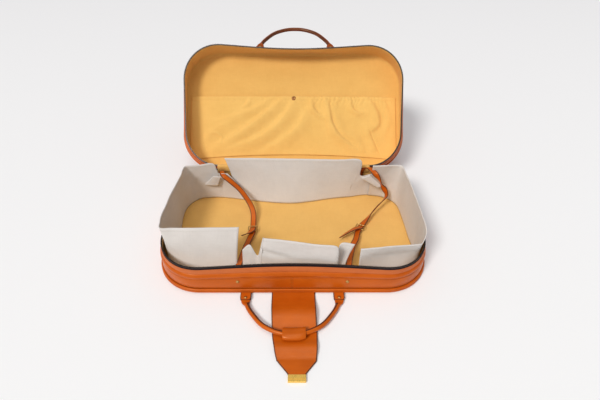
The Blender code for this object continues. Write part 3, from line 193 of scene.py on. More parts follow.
@dataclass(frozen=True)
class Plan:
    """A rounded oblong seen from above, narrower to the rear and dipped in front."""

    half_width: float
    half_depth: float
    front_corner: float
    rear_corner: float
    taper: float = 0.0
    dip: float = 0.0

    def inset(self, distance: float) -> Plan:
        """This plan drawn in by a distance all round."""
        sides = (self.half_width, self.half_depth, self.front_corner, self.rear_corner)
        return Plan(*(side - distance for side in sides), self.taper, self.dip)

    def toward(self, other: Plan, share: float) -> Plan:
        """The plan that lies a share of the way to another one."""
        return Plan(*(a + (b - a) * share for a, b in zip(astuple(self), astuple(other))))

    def shape(self, points: Rows) -> Rows:
        """The plain oblong's points after the taper and the dip."""
        x, y = points[:, 0], points[:, 1]
        rearness = (y + self.half_depth) / (2 * self.half_depth)
        frontness = np.maximum(-y / self.half_depth, 0)
        narrowed = x * (1 - self.taper * rearness / self.half_width)
        dipped = y + self.dip * frontness * np.cos(math.pi * x / (2 * self.half_width)) ** 2
        return np.stack([narrowed, dipped], axis=1)

    def ring(self, run: Run, seam: float = 0.0, seam_gap: float = 0.0) -> Rows:
        """Points along the outline, anticlockwise.

        Args:
            run: The stretch to take.
            seam: Where a seamed ring is cut, along the front.
            seam_gap: How far apart its two ends lie.

        Returns:
            The points, one in each row.
        """
        rear_x = self.half_width - self.rear_corner
        front_x = self.half_width - self.front_corner
        rear_y = self.half_depth - self.rear_corner
        front_y = self.front_corner - self.half_depth
        rear_left = span((0, self.half_depth), (-rear_x, self.half_depth), HALF_REAR_STEPS)
        rear_right = span((rear_x, self.half_depth), (0, self.half_depth), HALF_REAR_STEPS)
        left = [
            quarter((-rear_x, rear_y), self.rear_corner, 90),
            span((-self.half_width, rear_y), (-self.half_width, front_y), SIDE_STEPS),
            quarter((-front_x, front_y), self.front_corner, 180)
        ]
        front = span((-front_x, -self.half_depth), (front_x, -self.half_depth), FRONT_STEPS)
        right = [
            quarter((front_x, front_y), self.front_corner, 270),
            span((self.half_width, front_y), (self.half_width, rear_y), SIDE_STEPS),
            quarter((rear_x, rear_y), self.rear_corner, 0)
        ]
        if run is Run.WHOLE:
            parts = [rear_left, *left, front, *right, rear_right]
        elif run is Run.ZIP:
            parts = [*left, front, *right, rear_right[:1]]
        elif run is Run.REAR:
            parts = [rear_right, rear_left, [[-rear_x, self.half_depth]]]
        else:
            start = (seam + seam_gap / 2, -self.half_depth)
            stop = (seam - seam_gap / 2, -self.half_depth)
            first = span(start, (front_x, -self.half_depth), FRONT_STEPS // 2)
            last = span((-front_x, -self.half_depth), stop, FRONT_STEPS // 2)
            parts = [first, *right, rear_right, rear_left, *left, last, [stop]]
        return self.shape(np.vstack(parts))


BRIM = Plan(CASE_WIDTH / 2, CASE_DEPTH / 2, PANEL_CORNER, PANEL_CORNER)
FOOT = BRIM.inset(FOOT_INSET)
MOUTH = Plan(
    CASE_WIDTH / 2 - MOUTH_DRAW_IN, CASE_DEPTH / 2 - MOUTH_SETBACK, FRONT_MOUTH_CORNER, REAR_MOUTH_CORNER,
    REAR_TAPER, FRONT_DIP
)


@dataclass(frozen=True)
class HalfShape:
    """The levels and outlines of one half, and where it stands in the world."""

    height: float
    body: str
    place: Matrix

    @property
    def tape_z(self) -> float:
        """The foot of the zip tape."""
        return self.height - TAPE_HEIGHT

    @property
    def facing_z(self) -> float:
        """The foot of the zip's facing."""
        return self.tape_z - GAP - FACING_HEIGHT

    @property
    def welt_z(self) -> float:
        """The foot of the welt."""
        return self.facing_z - GAP - WELT_HEIGHT

    @property
    def gusset_top(self) -> float:
        """The top of the gusset."""
        return self.welt_z - GAP

    def plan_at(self, z: float) -> Plan:
        """The wall's outline at a height."""
        return FOOT.toward(MOUTH, (z - WALL_Z) / (self.height - WALL_Z))

    def wall(self, z: float, proud: float, run: Run, seam: float = 0.0, seam_gap: float = 0.0) -> Rows:
        """A ring of wall points at a height, that far proud of the wall's outline."""
        ring = self.plan_at(z).inset(-proud).ring(run, seam, seam_gap)
        return np.column_stack([ring, np.full(len(ring), z)])

    def front(self, x: float, z: float, proud: float = 0.0) -> Vector:
        """A point in front of the wall, in the half's frame."""
        plan = self.plan_at(z).inset(-proud)
        y = plan.shape(np.array([[x, -plan.half_depth]]))[0, 1]
        return Vector((x, y, z))

    def world(self, points: Rows) -> Rows:
        """Points of the half's frame in the world, in an array of the same shape."""
        flat = np.asarray(points, float).reshape(-1, 3)
        turned = flat @ np.array(self.place.to_3x3()).T + np.array(self.place.translation)
        return turned.reshape(np.shape(points))

    def direction(self, vectors: Rows) -> Rows:
        """Directions of the half's frame in the world."""
        flat = np.asarray(vectors, float).reshape(-1, 3)
        return (flat @ np.array(self.place.to_3x3()).T).reshape(np.shape(vectors))


def lid_place() -> Matrix:
    """Where the lid's frame stands while the case lies open."""
    hinge = Matrix.Translation((0, HINGE_Y, HINGE_Z)) @ Matrix.Rotation(-OPEN_ANGLE, 4, "X")
    shut = Matrix.Translation((0, -HINGE_Y, LID_HEIGHT + MOUTH_GAP / 2)) @ Matrix.Rotation(math.pi, 4, "Y")
    return hinge @ shut


BASE = HalfShape(BASE_HEIGHT, "base", Matrix.Identity(4))
LID = HalfShape(LID_HEIGHT, "lid", lid_place())


def smooth_line(points: Sequence[Sequence[float]], steps: int) -> Rows:
    """Points along a smooth curve through the given ones.

    Args:
        points: Points of any length, one in each row.
        steps: How many points to each stretch.

    Returns:
        The finer points, with the last one.
    """
    known = np.array(points, float)
    line = []
    for index in range(len(known) - 1):
        a = known[max(index - 1, 0)]
        b, c = known[index], known[index + 1]
        d = known[min(index + 2, len(known) - 1)]
        for step in range(steps):
            t = step / steps
            bend = 2 * a - 5 * b + 4 * c - d
            line.append(b + t * (c - a + t * (bend + t * (3 * b - a - 3 * c + d))) / 2)
    line.append(known[-1])
    return np.array(line)


def even_line(points: Rows, pitch: float) -> Rows:
    """Points a fixed distance apart along a line through the given ones."""
    lengths = np.concatenate([[0], np.cumsum(np.linalg.norm(np.diff(points, axis=0), axis=1))])
    count = max(int(round(lengths[-1] / pitch)), 2)
    marks = np.linspace(0, lengths[-1], count + 1)
    return np.stack([np.interp(marks, lengths, points[:, k]) for k in range(points.shape[1])], axis=1)


def unit(vectors: Rows) -> Rows:
    """Vectors made one long."""
    return vectors / np.maximum(np.linalg.norm(vectors, axis=-1, keepdims=True), TINY)


def headings(points: Rows) -> Rows:
    """The way ahead at each point of a line."""
    ahead = np.empty_like(points)
    ahead[1:-1] = points[2:] - points[:-2]
    ahead[0] = points[1] - points[0]
    ahead[-1] = points[-1] - points[-2]
    return unit(ahead)


def ripple(points: Rows, size: float, seed: int, octaves: int = 3) -> Rows:
    """Smooth wavy values between about -1 and 1, the same at every run.

    Args:
        points: Places, one in each row.
        size: The length of the largest waves.
        seed: Which pattern.
        octaves: How many finer layers of waves.

    Returns:
        One value for each place.
    """
    numbers = np.random.default_rng(seed)
    flat = points.reshape(-1, points.shape[-1])
    total = np.zeros(len(flat))
    weight = 1.0
    for octave in range(octaves):
        for _ in range(RIPPLE_WAVES):
            heading = unit(numbers.normal(size=flat.shape[1]))
            phase = numbers.uniform(0, 2 * math.pi)
            reach = size / 2**octave * numbers.uniform(*RIPPLE_SPREAD)
            total += weight * np.sin(flat @ heading * 2 * math.pi / reach + phase) / RIPPLE_WAVES
        weight /= 2
    return total.reshape(points.shape[:-1])


class MeshKit:
    """Makes meshes from grids of points, with a UV map in metres."""

    @staticmethod
    def grid(
        name: str, points: Rows, wrap_rows: bool = False, wrap_columns: bool = False, caps: bool = False,
        sharp: float = 50, plane: Optional[Rows] = None, pole: bool = False
    ) -> bpy.types.Mesh:
        """A surface through a grid of points. Its faces look along column x row.

        Args:
            name: The mesh's name.
            points: The grid, as rows of columns of points.
            wrap_rows: Whether the last row joins the first.
            wrap_columns: Whether the last column joins the first.
            caps: Whether the open ends of a tube are closed.
            sharp: The angle in degrees above which an edge stays sharp.
            plane: The UV place of each point, or None to unroll the grid.
            pole: Whether one face closes the last ring.

        Returns:
            The mesh.
        """
        rows, columns = points.shape[:2]
        index = np.arange(rows * columns).reshape(rows, columns)
        laid = points
        if wrap_rows:
            index = np.vstack([index, index[:1]])
            laid = np.concatenate([laid, laid[:1]], axis=0)
        if wrap_columns:
            index = np.hstack([index, index[:, :1]])
            laid = np.concatenate([laid, laid[:, :1]], axis=1)
        across = np.linalg.norm(np.diff(laid, axis=1), axis=2).mean(axis=0)
        up = np.linalg.norm(np.diff(laid, axis=0), axis=2).mean(axis=1)
        u, v = np.meshgrid(np.concatenate([[0], np.cumsum(across)]), np.concatenate([[0], np.cumsum(up)]))
        uv = np.stack([u, v], axis=-1) if plane is None else plane
        corners = [(slice(None, -1), slice(None, -1)), (slice(None, -1), slice(1, None))]
        corners += [(slice(1, None), slice(1, None)), (slice(1, None), slice(None, -1))]
        faces = np.stack([index[corner] for corner in corners], axis=-1).reshape(-1, 4).tolist()
        laid_uv = np.stack([uv[corner] for corner in corners], axis=-2).reshape(-1, 2)
        if caps:
            ring = index[:-1] if wrap_rows else index
            ends = [index[:, 0][: len(ring)], index[:, -1][: len(ring)][::-1]]
            if wrap_columns:
                ends = [index[0, :-1][::-1], index[-1, :-1]]
            faces += [end.tolist() for end in ends]
            laid_uv = np.vstack([laid_uv, np.zeros((sum(len(end) for end in ends), 2))])
        if pole:
            faces.append(index[-1, :-1].tolist())
            laid_uv = np.vstack([laid_uv, uv[-1, :-1]])
        mesh = bpy.data.meshes.new(name)
        mesh.from_pydata(points.reshape(-1, 3).tolist(), [], faces)
        layer = mesh.uv_layers.new(name="lay")
        layer.data.foreach_set("uv", laid_uv.astype(np.float32).ravel())
        return MeshKit.smoothed(mesh, sharp)

    @staticmethod
    def smoothed(mesh: bpy.types.Mesh, sharp: float = 50) -> bpy.types.Mesh:
        """The mesh shaded smooth, but for edges sharper than an angle in degrees."""
        mesh.shade_smooth()
        mesh.set_sharp_from_angle(angle=math.radians(sharp))
        return mesh

    @staticmethod
    def outward(mesh: bpy.types.Mesh) -> bpy.types.Mesh:
        """The mesh with its doubles merged and its faces turned outward."""
        form = bmesh.new()
        form.from_mesh(mesh)
        bmesh.ops.remove_doubles(form, verts=form.verts, dist=MERGE_DISTANCE)
        bmesh.ops.recalc_face_normals(form, faces=form.faces)
        form.to_mesh(mesh)
        form.free()
        return mesh

    @staticmethod
    def turned(
        name: str, profile: Sequence[Sequence[float]], place: Matrix, steps: int = 40
    ) -> bpy.types.Mesh:
        """A solid turned about Z from a profile that runs down its outer side.

        Args:
            name: The mesh's name.
            profile: Radius and height of each point; the ends lie on the axis.
            place: Where the solid goes.
            steps: How many faces round.

        Returns:
            The mesh.
        """
        angles = 2 * math.pi * np.arange(steps) / steps
        radii = np.array([[max(radius, AXIS_RADIUS)] for radius, _ in profile])
        heights = np.repeat([[height] for _, height in profile], steps, axis=1)
        points = np.stack([radii * np.cos(angles), radii * np.sin(angles), heights], axis=-1)
        mesh = MeshKit.grid(name, points, wrap_columns=True, caps=True, sharp=METAL_SHARP)
        mesh.transform(place)
        return MeshKit.smoothed(MeshKit.outward(mesh), METAL_SHARP)

    @staticmethod
    def box(
        name: str, size: Sequence[float], place: Matrix, bevel: float, segments: int = 3
    ) -> bpy.types.Mesh:
        """A box with rounded edges."""
        form = bmesh.new()
        bmesh.ops.create_cube(form, size=1)
        bmesh.ops.scale(form, vec=size, verts=form.verts)
        bmesh.ops.bevel(
            form, geom=form.edges[:], offset=bevel, segments=segments, profile=0.5, affect="EDGES"
        )
        mesh = bpy.data.meshes.new(name)
        form.to_mesh(mesh)
        form.free()
        mesh.transform(place)
        return MeshKit.smoothed(mesh, METAL_SHARP)

    @staticmethod
    def paint(mesh: bpy.types.Mesh, slots: Rows) -> bpy.types.Mesh:
        """Gives each face of a grid the number of its material; caps take the last one."""
        numbers = np.full(len(mesh.polygons), int(slots.max()), np.int32)
        numbers[: slots.size] = slots.ravel()
        mesh.polygons.foreach_set("material_index", numbers)
        return mesh


def strip_axes(line: Rows, across: Rows) -> tuple[Rows, Rows]:
    """The way across a strip, square to its line, and the way out of its upper face."""
    ahead = headings(line)
    side = unit(across - ahead * np.sum(across * ahead, axis=1, keepdims=True))
    return side, np.cross(ahead, side)


@dataclass(frozen=True)
class Ribbon:
    """A flat strip of leather with rounded edges, laid along a line."""

    thickness: float
    crown: float = 0.0
    face_steps: int = 8
    edge_steps: int = 4
    rim: float = 0.0007

    def section(self, half_width: float) -> tuple[Rows, Rows]:
        """The strip's cross-section.

        Args:
            half_width: Half the strip's width.

        Returns:
            Places across and above the line, and which of the stretches that start there are edge.
        """
        half = self.thickness / 2
        flat = max(half_width - half, half / 4)
        inner = max(flat - self.rim, flat / 2)
        across = np.array([flat, *np.linspace(inner, -inner, self.face_steps - 1), -flat])
        lift = self.crown * (1 - (across / flat) ** 2)
        turn = np.radians(np.linspace(0, 180, self.edge_steps + 1)[1:-1])
        left = np.stack([-flat - half * np.sin(turn), half * np.cos(turn)], axis=1)
        right = np.stack([flat + half * np.sin(turn), -half * np.cos(turn)], axis=1)
        top = np.stack([across, half + lift], axis=1)
        under = np.stack([across[::-1], -half + lift[::-1]], axis=1)
        points = np.vstack([top, left, under, right])
        edge = np.zeros(len(points), bool)
        edge[0] = True
        edge[self.face_steps - 1 : self.face_steps + self.edge_steps + 1] = True
        edge[2 * self.face_steps + self.edge_steps - 1 :] = True
        return points, edge

    def mesh(self, name: str, line: Rows, across: Rows, half_widths: Rows) -> bpy.types.Mesh:
        """The strip's mesh, whose edges have material 1.

        Args:
            name: The mesh's name.
            line: The middle of the strip.
            across: The way across the strip at each point of the line.
            half_widths: Half the strip's width at each point.

        Returns:
            The mesh.
        """
        side, up = strip_axes(line, across)
        sections = [self.section(half) for half in half_widths]
        grid = np.stack(
            [
                centre + np.outer(points[:, 0], wide) + np.outer(points[:, 1], high)
                for centre, wide, high, (points, _) in zip(line, side, up, sections)
            ]
        )
        mesh = MeshKit.grid(name, grid, wrap_columns=True, caps=True)
        edges = np.tile(sections[0][1], (len(line) - 1, 1)).astype(int)
        return MeshKit.paint(mesh, edges)

    def track(self, line: Rows, across: Rows, shift: float, side: int = 1) -> tuple[Rows, Rows]:
        """A line on the strip's face.

        Args:
            line: The middle of the strip.
            across: The way across the strip at each point.
            shift: How far from the middle.
            side: 1 for the upper face and -1 for the lower one.

        Returns:
            The line's points and the way out of the face at each.
        """
        wide, up = strip_axes(line, across)
        up = up * side
        return line + wide * shift + up * (self.thickness / 2), up


class NodeSheet:
    """Adds nodes to a tree and links them."""

    def __init__(self, tree: bpy.types.NodeTree) -> None:
        """Starts on a tree, with nodes or without."""
        self.tree = tree

    def feed(self, socket: bpy.types.NodeSocket, source: object) -> None:
        """Gives an input a link from a socket, or a plain value."""
        if isinstance(source, bpy.types.NodeSocket):
            self.tree.links.new(source, socket)
        else:
            socket.default_value = source

    def add(self, kind: str, feeds: Optional[dict[str, object]] = None, **settings: object) -> bpy.types.Node:
        """Adds a node.

        Args:
            kind: Its type.
            feeds: A link or value for each input that needs one, by the input's name.
            **settings: The node's own settings.

        Returns:
            The node.
        """
        node = self.tree.nodes.new(kind)
        for key, value in settings.items():
            setattr(node, key, value)
        for name, source in (feeds or {}).items():
            self.feed(node.inputs[name], source)
        return node

    def math(self, operation: str, *sources: object) -> bpy.types.NodeSocket:
        """A sum, product or other operation on values."""
        node = self.add("ShaderNodeMath", operation=operation)
        for socket, source in zip(node.inputs, sources):
            self.feed(socket, source)
        return node.outputs[0]

    def blended(self, share: float, first: object, second: object) -> bpy.types.NodeSocket:
        """A share of the first value added to the rest of the second."""
        return self.math("MULTIPLY_ADD", first, share, self.math("MULTIPLY", second, 1 - share))

    def ranged(
        self, value: object, low: float, high: float, start: float, end: float
    ) -> bpy.types.NodeSocket:
        """A value moved from one range to another and kept inside it."""
        names = ("Value", "From Min", "From Max", "To Min", "To Max")
        feeds = dict(zip(names, (value, low, high, start, end)))
        return self.add("ShaderNodeMapRange", feeds, clamp=True).outputs["Result"]

    def mixed(self, share: object, first: object, second: object) -> bpy.types.NodeSocket:
        """A colour between two others."""
        node = self.add("ShaderNodeMix", data_type="RGBA")
        self.feed(node.inputs[0], share)
        for socket, source in ((node.inputs[6], first), (node.inputs[7], second)):
            self.feed(socket, (*source, 1) if isinstance(source, tuple) else source)
        return node.outputs[2]

    def noise(
        self, place: object, scale: object, detail: float = 2.0, rough: float = 0.5
    ) -> bpy.types.NodeSocket:
        """Smooth noise between 0 and 1."""
        feeds = {"Vector": place, "Scale": scale, "Detail": detail, "Roughness": rough}
        return self.add("ShaderNodeTexNoise", feeds, noise_dimensions="3D").outputs["Fac"]

    def stretched(self, place: object, scale: Sequence[float]) -> bpy.types.NodeSocket:
        """A place with its axes stretched."""
        return self.add("ShaderNodeMapping", {"Vector": place, "Scale": scale}).outputs["Vector"]


VALUE = "NodeSocketFloat"
VECTOR = "NodeSocketVector"


class ShaderGroup:
    """A shared effect: a node group with named inputs and outputs."""

    def __init__(self, name: str, inputs: dict[str, str], outputs: Sequence[str]) -> None:
        """Makes the group's tree and its sockets.

        Args:
            name: The group's name.
            inputs: Each input's name and socket type.
            outputs: The name of each output, all of them values.
        """
        self.tree = bpy.data.node_groups.new(name, "ShaderNodeTree")
        for way, sockets in (("INPUT", inputs), ("OUTPUT", dict.fromkeys(outputs, VALUE))):
            for label, kind in sockets.items():
                self.tree.interface.new_socket(label, in_out=way, socket_type=kind)
        self.sheet = NodeSheet(self.tree)
        self.given = self.sheet.add("NodeGroupInput").outputs
        self.wanted = self.sheet.add("NodeGroupOutput").inputs

    def place_in(self, sheet: NodeSheet, **sources: object) -> bpy.types.NodeOutputs:
        """Puts the group in a material, with a link or value for each input, and gives its outputs."""
        return sheet.add("ShaderNodeGroup", sources, node_tree=self.tree).outputs


TONE_SPREAD = (0.36, 0.64)
YARN_SPREAD = (0.35, 0.65)


def hide_grain() -> ShaderGroup:
    """Leather's pebbled surface and the slow change of its tone."""
    group = ShaderGroup("hide_grain", {"Place": VECTOR, "Pebbles": VALUE}, ("Height", "Tone"))
    sheet = group.sheet
    place, pebbles = group.given["Place"], group.given["Pebbles"]
    spots = {"Vector": place, "Scale": pebbles, "Smoothness": 0.5}
    cells = sheet.add("ShaderNodeTexVoronoi", spots, feature="SMOOTH_F1")
    fine = sheet.noise(place, sheet.math("MULTIPLY", pebbles, 0.45), 3)
    raised = sheet.math("ADD", sheet.math("MULTIPLY", cells.outputs["Distance"], 0.8), fine)
    sheet.feed(group.wanted["Height"], raised)
    slow = sheet.noise(place, 16.0, 4, 0.6)
    streak = sheet.noise(sheet.stretched(place, (9, 60, 60)), 1.0, 3)
    sheet.feed(group.wanted["Tone"], sheet.ranged(sheet.blended(0.4, streak, slow), *TONE_SPREAD, 0, 1))
    return group


def cloth_weave() -> ShaderGroup:
    """Threads over and under each other, plain or as a twill, with uneven yarn."""
    group = ShaderGroup(
        "cloth_weave", {"Place": VECTOR, "Threads": VALUE, "Twill": VALUE}, ("Height", "Tone")
    )
    sheet = group.sheet
    place, share = group.given["Place"], group.given["Twill"]
    split = sheet.add("ShaderNodeSeparateXYZ", {"Vector": place})
    turns = sheet.math("MULTIPLY", group.given["Threads"], math.pi)
    warp = sheet.math("MULTIPLY", split.outputs[0], turns)
    weft = sheet.math("MULTIPLY", split.outputs[1], turns)
    plain = sheet.math("MULTIPLY", sheet.math("SINE", warp), sheet.math("SINE", weft))
    twill = sheet.math("SINE", sheet.math("ADD", warp, weft))
    left = sheet.math("MULTIPLY", plain, sheet.math("SUBTRACT", 1.0, share))
    sheet.feed(group.wanted["Height"], sheet.math("MULTIPLY_ADD", twill, share, left))
    long_yarn = sheet.noise(sheet.stretched(place, (30, 900, 1)), 1.0, 2)
    cross_yarn = sheet.noise(sheet.stretched(place, (900, 30, 1)), 1.0, 2)
    yarn = sheet.blended(0.5, cross_yarn, long_yarn)
    sheet.feed(group.wanted["Tone"], sheet.ranged(yarn, *YARN_SPREAD, 0, 1))
    return group


def faint_mottle() -> ShaderGroup:
    """A slow uneven tone, as dye, dust and handling leave."""
    group = ShaderGroup("faint_mottle", {"Place": VECTOR, "Size": VALUE}, ("Tone",))
    sheet = group.sheet
    scale = sheet.math("DIVIDE", 1.0, group.given["Size"])
    wide = sheet.noise(group.given["Place"], scale, 3, 0.55)
    fine = sheet.noise(group.given["Place"], sheet.math("MULTIPLY", scale, 6.0), 3, 0.6)
    sheet.feed(group.wanted["Tone"], sheet.ranged(sheet.blended(0.3, fine, wide), *YARN_SPREAD, 0, 1))
    return group


class EffectShelf:
    """The shared effects, each built once."""

    def __init__(self) -> None:
        """Builds every group."""
        self.grain = hide_grain()
        self.weave = cloth_weave()
        self.mottle = faint_mottle()


class Material:
    """A new material with its sheet, its shader and its places to read."""

    def __init__(self, name: str) -> None:
        """Makes the material's nodes."""
        self.data = bpy.data.materials.new(name)
        self.data.use_nodes = True
        self.sheet = NodeSheet(self.data.node_tree)
        self.shader = self.data.node_tree.nodes["Principled BSDF"].inputs
        where = self.sheet.add("ShaderNodeTexCoord")
        self.place = where.outputs["Object"]
        self.lay = where.outputs["UV"]

    def set(self, **values: object) -> None:
        """Gives shader inputs a link or value, by their names with _ for each space."""
        for name, source in values.items():
            self.sheet.feed(self.shader[name.replace("_", " ")], source)

    def mottle(self, shelf: EffectShelf, size: float) -> bpy.types.NodeSocket:
        """The slow uneven tone, with patches of a size in metres."""
        return shelf.mottle.place_in(self.sheet, Place=self.place, Size=size)["Tone"]

    def bump(self, height: bpy.types.NodeSocket, distance: float) -> None:
        """Raises the surface by a height, in metres."""
        feeds = {"Distance": distance, "Strength": 1.0, "Height": height}
        self.set(Normal=self.sheet.add("ShaderNodeBump", feeds).outputs["Normal"])


@dataclass(frozen=True)
class LeatherFinish:
    """Vegetable-tanned leather, polished smooth."""

    name: str
    light: Colour
    deep: Colour
    shine: float
    dull: float
    coat: float
    pebbles: float = 1500.0
    relief: float = 0.00006
    tint: Colour = (1.0, 0.60, 0.30)
    patch: float = 0.03

    def build(self, shelf: EffectShelf) -> bpy.types.Material:
        """Makes the material from the shared effects."""
        material = Material(self.name)
        sheet = material.sheet
        grain = shelf.grain.place_in(sheet, Place=material.place, Pebbles=self.pebbles)
        material.set(
            Base_Color=sheet.mixed(grain["Tone"], self.deep, self.light),
            Roughness=sheet.ranged(material.mottle(shelf, self.patch), 0, 1, self.shine, self.dull),
            Specular_Tint=(*self.tint, 1), Coat_Weight=self.coat, Coat_Roughness=0.22
        )
        material.bump(grain["Height"], self.relief)
        return material.data


@dataclass(frozen=True)
class ClothFinish:
    """Woven cloth, plain or twill, matt and a little uneven."""

    name: str
    light: Colour
    deep: Colour
    threads: float
    twill: float
    relief: float
    fuzz: float
    patch: float = 0.05
    yarn_share: float = 0.45

    def build(self, shelf: EffectShelf) -> bpy.types.Material:
        """Makes the material from the shared effects."""
        material = Material(self.name)
        sheet = material.sheet
        weave = shelf.weave.place_in(sheet, Place=material.lay, Threads=self.threads, Twill=self.twill)
        tone = sheet.blended(self.yarn_share, weave["Tone"], material.mottle(shelf, self.patch))
        material.set(
            Base_Color=sheet.mixed(tone, self.deep, self.light),
            Roughness=sheet.ranged(weave["Tone"], 0, 1, 0.86, 0.98), Specular_IOR_Level=0.2,
            Sheen_Weight=self.fuzz, Sheen_Roughness=0.6
        )
        material.bump(weave["Height"], self.relief)
        return material.data


@dataclass(frozen=True)
class MetalFinish:
    """Metal with fine wipe marks and a little tarnish."""

    name: str
    bright: Colour
    tarnish: Colour
    shine: float
    dull: float
    metal: float = 1.0
    patch: float = 0.006
    relief: float = 0.000001

    def build(self, shelf: EffectShelf) -> bpy.types.Material:
        """Makes the material from the shared effects."""
        material = Material(self.name)
        sheet = material.sheet
        marks = sheet.noise(sheet.stretched(material.place, (4000, 160, 900)), 1.0, 2)
        tarnished = sheet.ranged(material.mottle(shelf, self.patch), 0.6, 1, 0, 0.6)
        material.set(
            Base_Color=sheet.mixed(tarnished, self.bright, self.tarnish),
            Roughness=sheet.ranged(marks, 0.3, 0.7, self.shine, self.dull), Metallic=self.metal
        )
        material.bump(marks, self.relief)
        return material.data


@dataclass(frozen=True)
class ThreadFinish:
    """Waxed sewing thread, with its twist."""

    name: str
    light: Colour
    deep: Colour
    patch: float = 0.002
    relief: float = 0.00005

    def build(self, shelf: EffectShelf) -> bpy.types.Material:
        """Makes the material from the shared effects."""
        material = Material(self.name)
        sheet = material.sheet
        tone = material.mottle(shelf, self.patch)
        twist = sheet.noise(sheet.stretched(material.place, (2500, 900, 2500)), 1.0, 1)
        material.set(
            Base_Color=sheet.mixed(tone, self.deep, self.light),
            Roughness=sheet.ranged(tone, 0, 1, 0.55, 0.75)
        )
        material.bump(twist, self.relief)
        return material.data


TAN = LeatherFinish("tan_leather", (0.600, 0.113, 0.0045), (0.480, 0.082, 0.0030), 0.28, 0.42, 0.06)
# The darker leather of the lid's handle and chapes is painted shade: a darker copy of the tan leather.
SHADE_PAINTED_LEATHER = LeatherFinish("shade_painted_leather", (0.340, 0.062, 0.0050), (0.250, 0.042, 0.0040), 0.36, 0.50, 0.03)
BURNISHED = LeatherFinish(
    "burnished_edge", (0.140, 0.034, 0.012), (0.075, 0.020, 0.009), 0.35, 0.50, 0.10, relief=0.00003
)
PALE = LeatherFinish(
    "facing_leather", (0.640, 0.165, 0.045), (0.540, 0.120, 0.030), 0.48, 0.66, 0.04, pebbles=2200.0
)
MUSTARD = ClothFinish(
    "mustard_cotton", (0.840, 0.490, 0.138), (0.765, 0.424, 0.110), 1900.0, 1.0, 0.00005, 0.10
)
POCKET = ClothFinish(
    "pocket_cotton", (0.890, 0.545, 0.160), (0.820, 0.480, 0.130), 1900.0, 1.0, 0.00005, 0.10
)
GREY = ClothFinish("grey_canvas", (0.735, 0.692, 0.652), (0.655, 0.614, 0.575), 1500.0, 0.0, 0.00007, 0.08)
BLACK = ClothFinish("zip_tape", (0.016, 0.011, 0.013), (0.008, 0.005, 0.007), 2200.0, 1.0, 0.00004, 0.0)
POLISHED = MetalFinish("brass", (0.950, 0.600, 0.130), (0.700, 0.420, 0.080), 0.24, 0.38, 0.62)
AGED = MetalFinish("aged_brass", (0.560, 0.330, 0.110), (0.240, 0.125, 0.050), 0.30, 0.50)
BRONZE = MetalFinish("bronze", (0.300, 0.130, 0.050), (0.110, 0.050, 0.025), 0.28, 0.50)
TOOTH_METAL = MetalFinish("zip_teeth", (0.110, 0.090, 0.080), (0.035, 0.028, 0.026), 0.30, 0.50)
TAN_THREAD = ThreadFinish("tan_thread", (0.520, 0.150, 0.040), (0.330, 0.080, 0.020))
MUSTARD_THREAD = ThreadFinish("mustard_thread", (0.760, 0.400, 0.100), (0.560, 0.280, 0.060))
GREY_THREAD = ThreadFinish("grey_thread", (0.560, 0.500, 0.440), (0.400, 0.350, 0.300))


class Finishes:
    """Every finish of the case, built once."""

    def __init__(self) -> None:
        """Builds the shared effects, then the materials on them."""
        shelf = EffectShelf()
        self.leather = TAN.build(shelf)
        self.dark = SHADE_PAINTED_LEATHER.build(shelf)
        self.edge = BURNISHED.build(shelf)
        self.pale = PALE.build(shelf)
        self.cotton = MUSTARD.build(shelf)
        self.pocket = POCKET.build(shelf)
        self.canvas = GREY.build(shelf)
        self.tape = BLACK.build(shelf)
        self.brass = POLISHED.build(shelf)
        self.aged_brass = AGED.build(shelf)
        self.bronze = BRONZE.build(shelf)
        self.teeth = TOOTH_METAL.build(shelf)
        self.tan_thread = TAN_THREAD.build(shelf)
        self.mustard_thread = MUSTARD_THREAD.build(shelf)
        self.grey_thread = GREY_THREAD.build(shelf)


@dataclass(frozen=True)
class Ride:
    """How a piece moves: with one body, or, when it spans two bodies, baked in place and tied to neither."""

    body: str
    other: str = ""
    start: tuple[float, float, float] = (0.0, 0.0, 0.0)
    end: tuple[float, float, float] = (0.0, 0.0, 0.0)

    def apply(self, piece: bpy.types.Object) -> None:
        """Ties the piece to its body, or, when it spans two bodies, bakes its place into its mesh."""
        if self.other:
            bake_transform(piece)
        else:
            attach(piece, self.body)


@dataclass(frozen=True)
class Shell:
    """A thickness that a sheet gets when it is placed."""

    thickness: float
    offset: float = 0.0
    even: bool = False


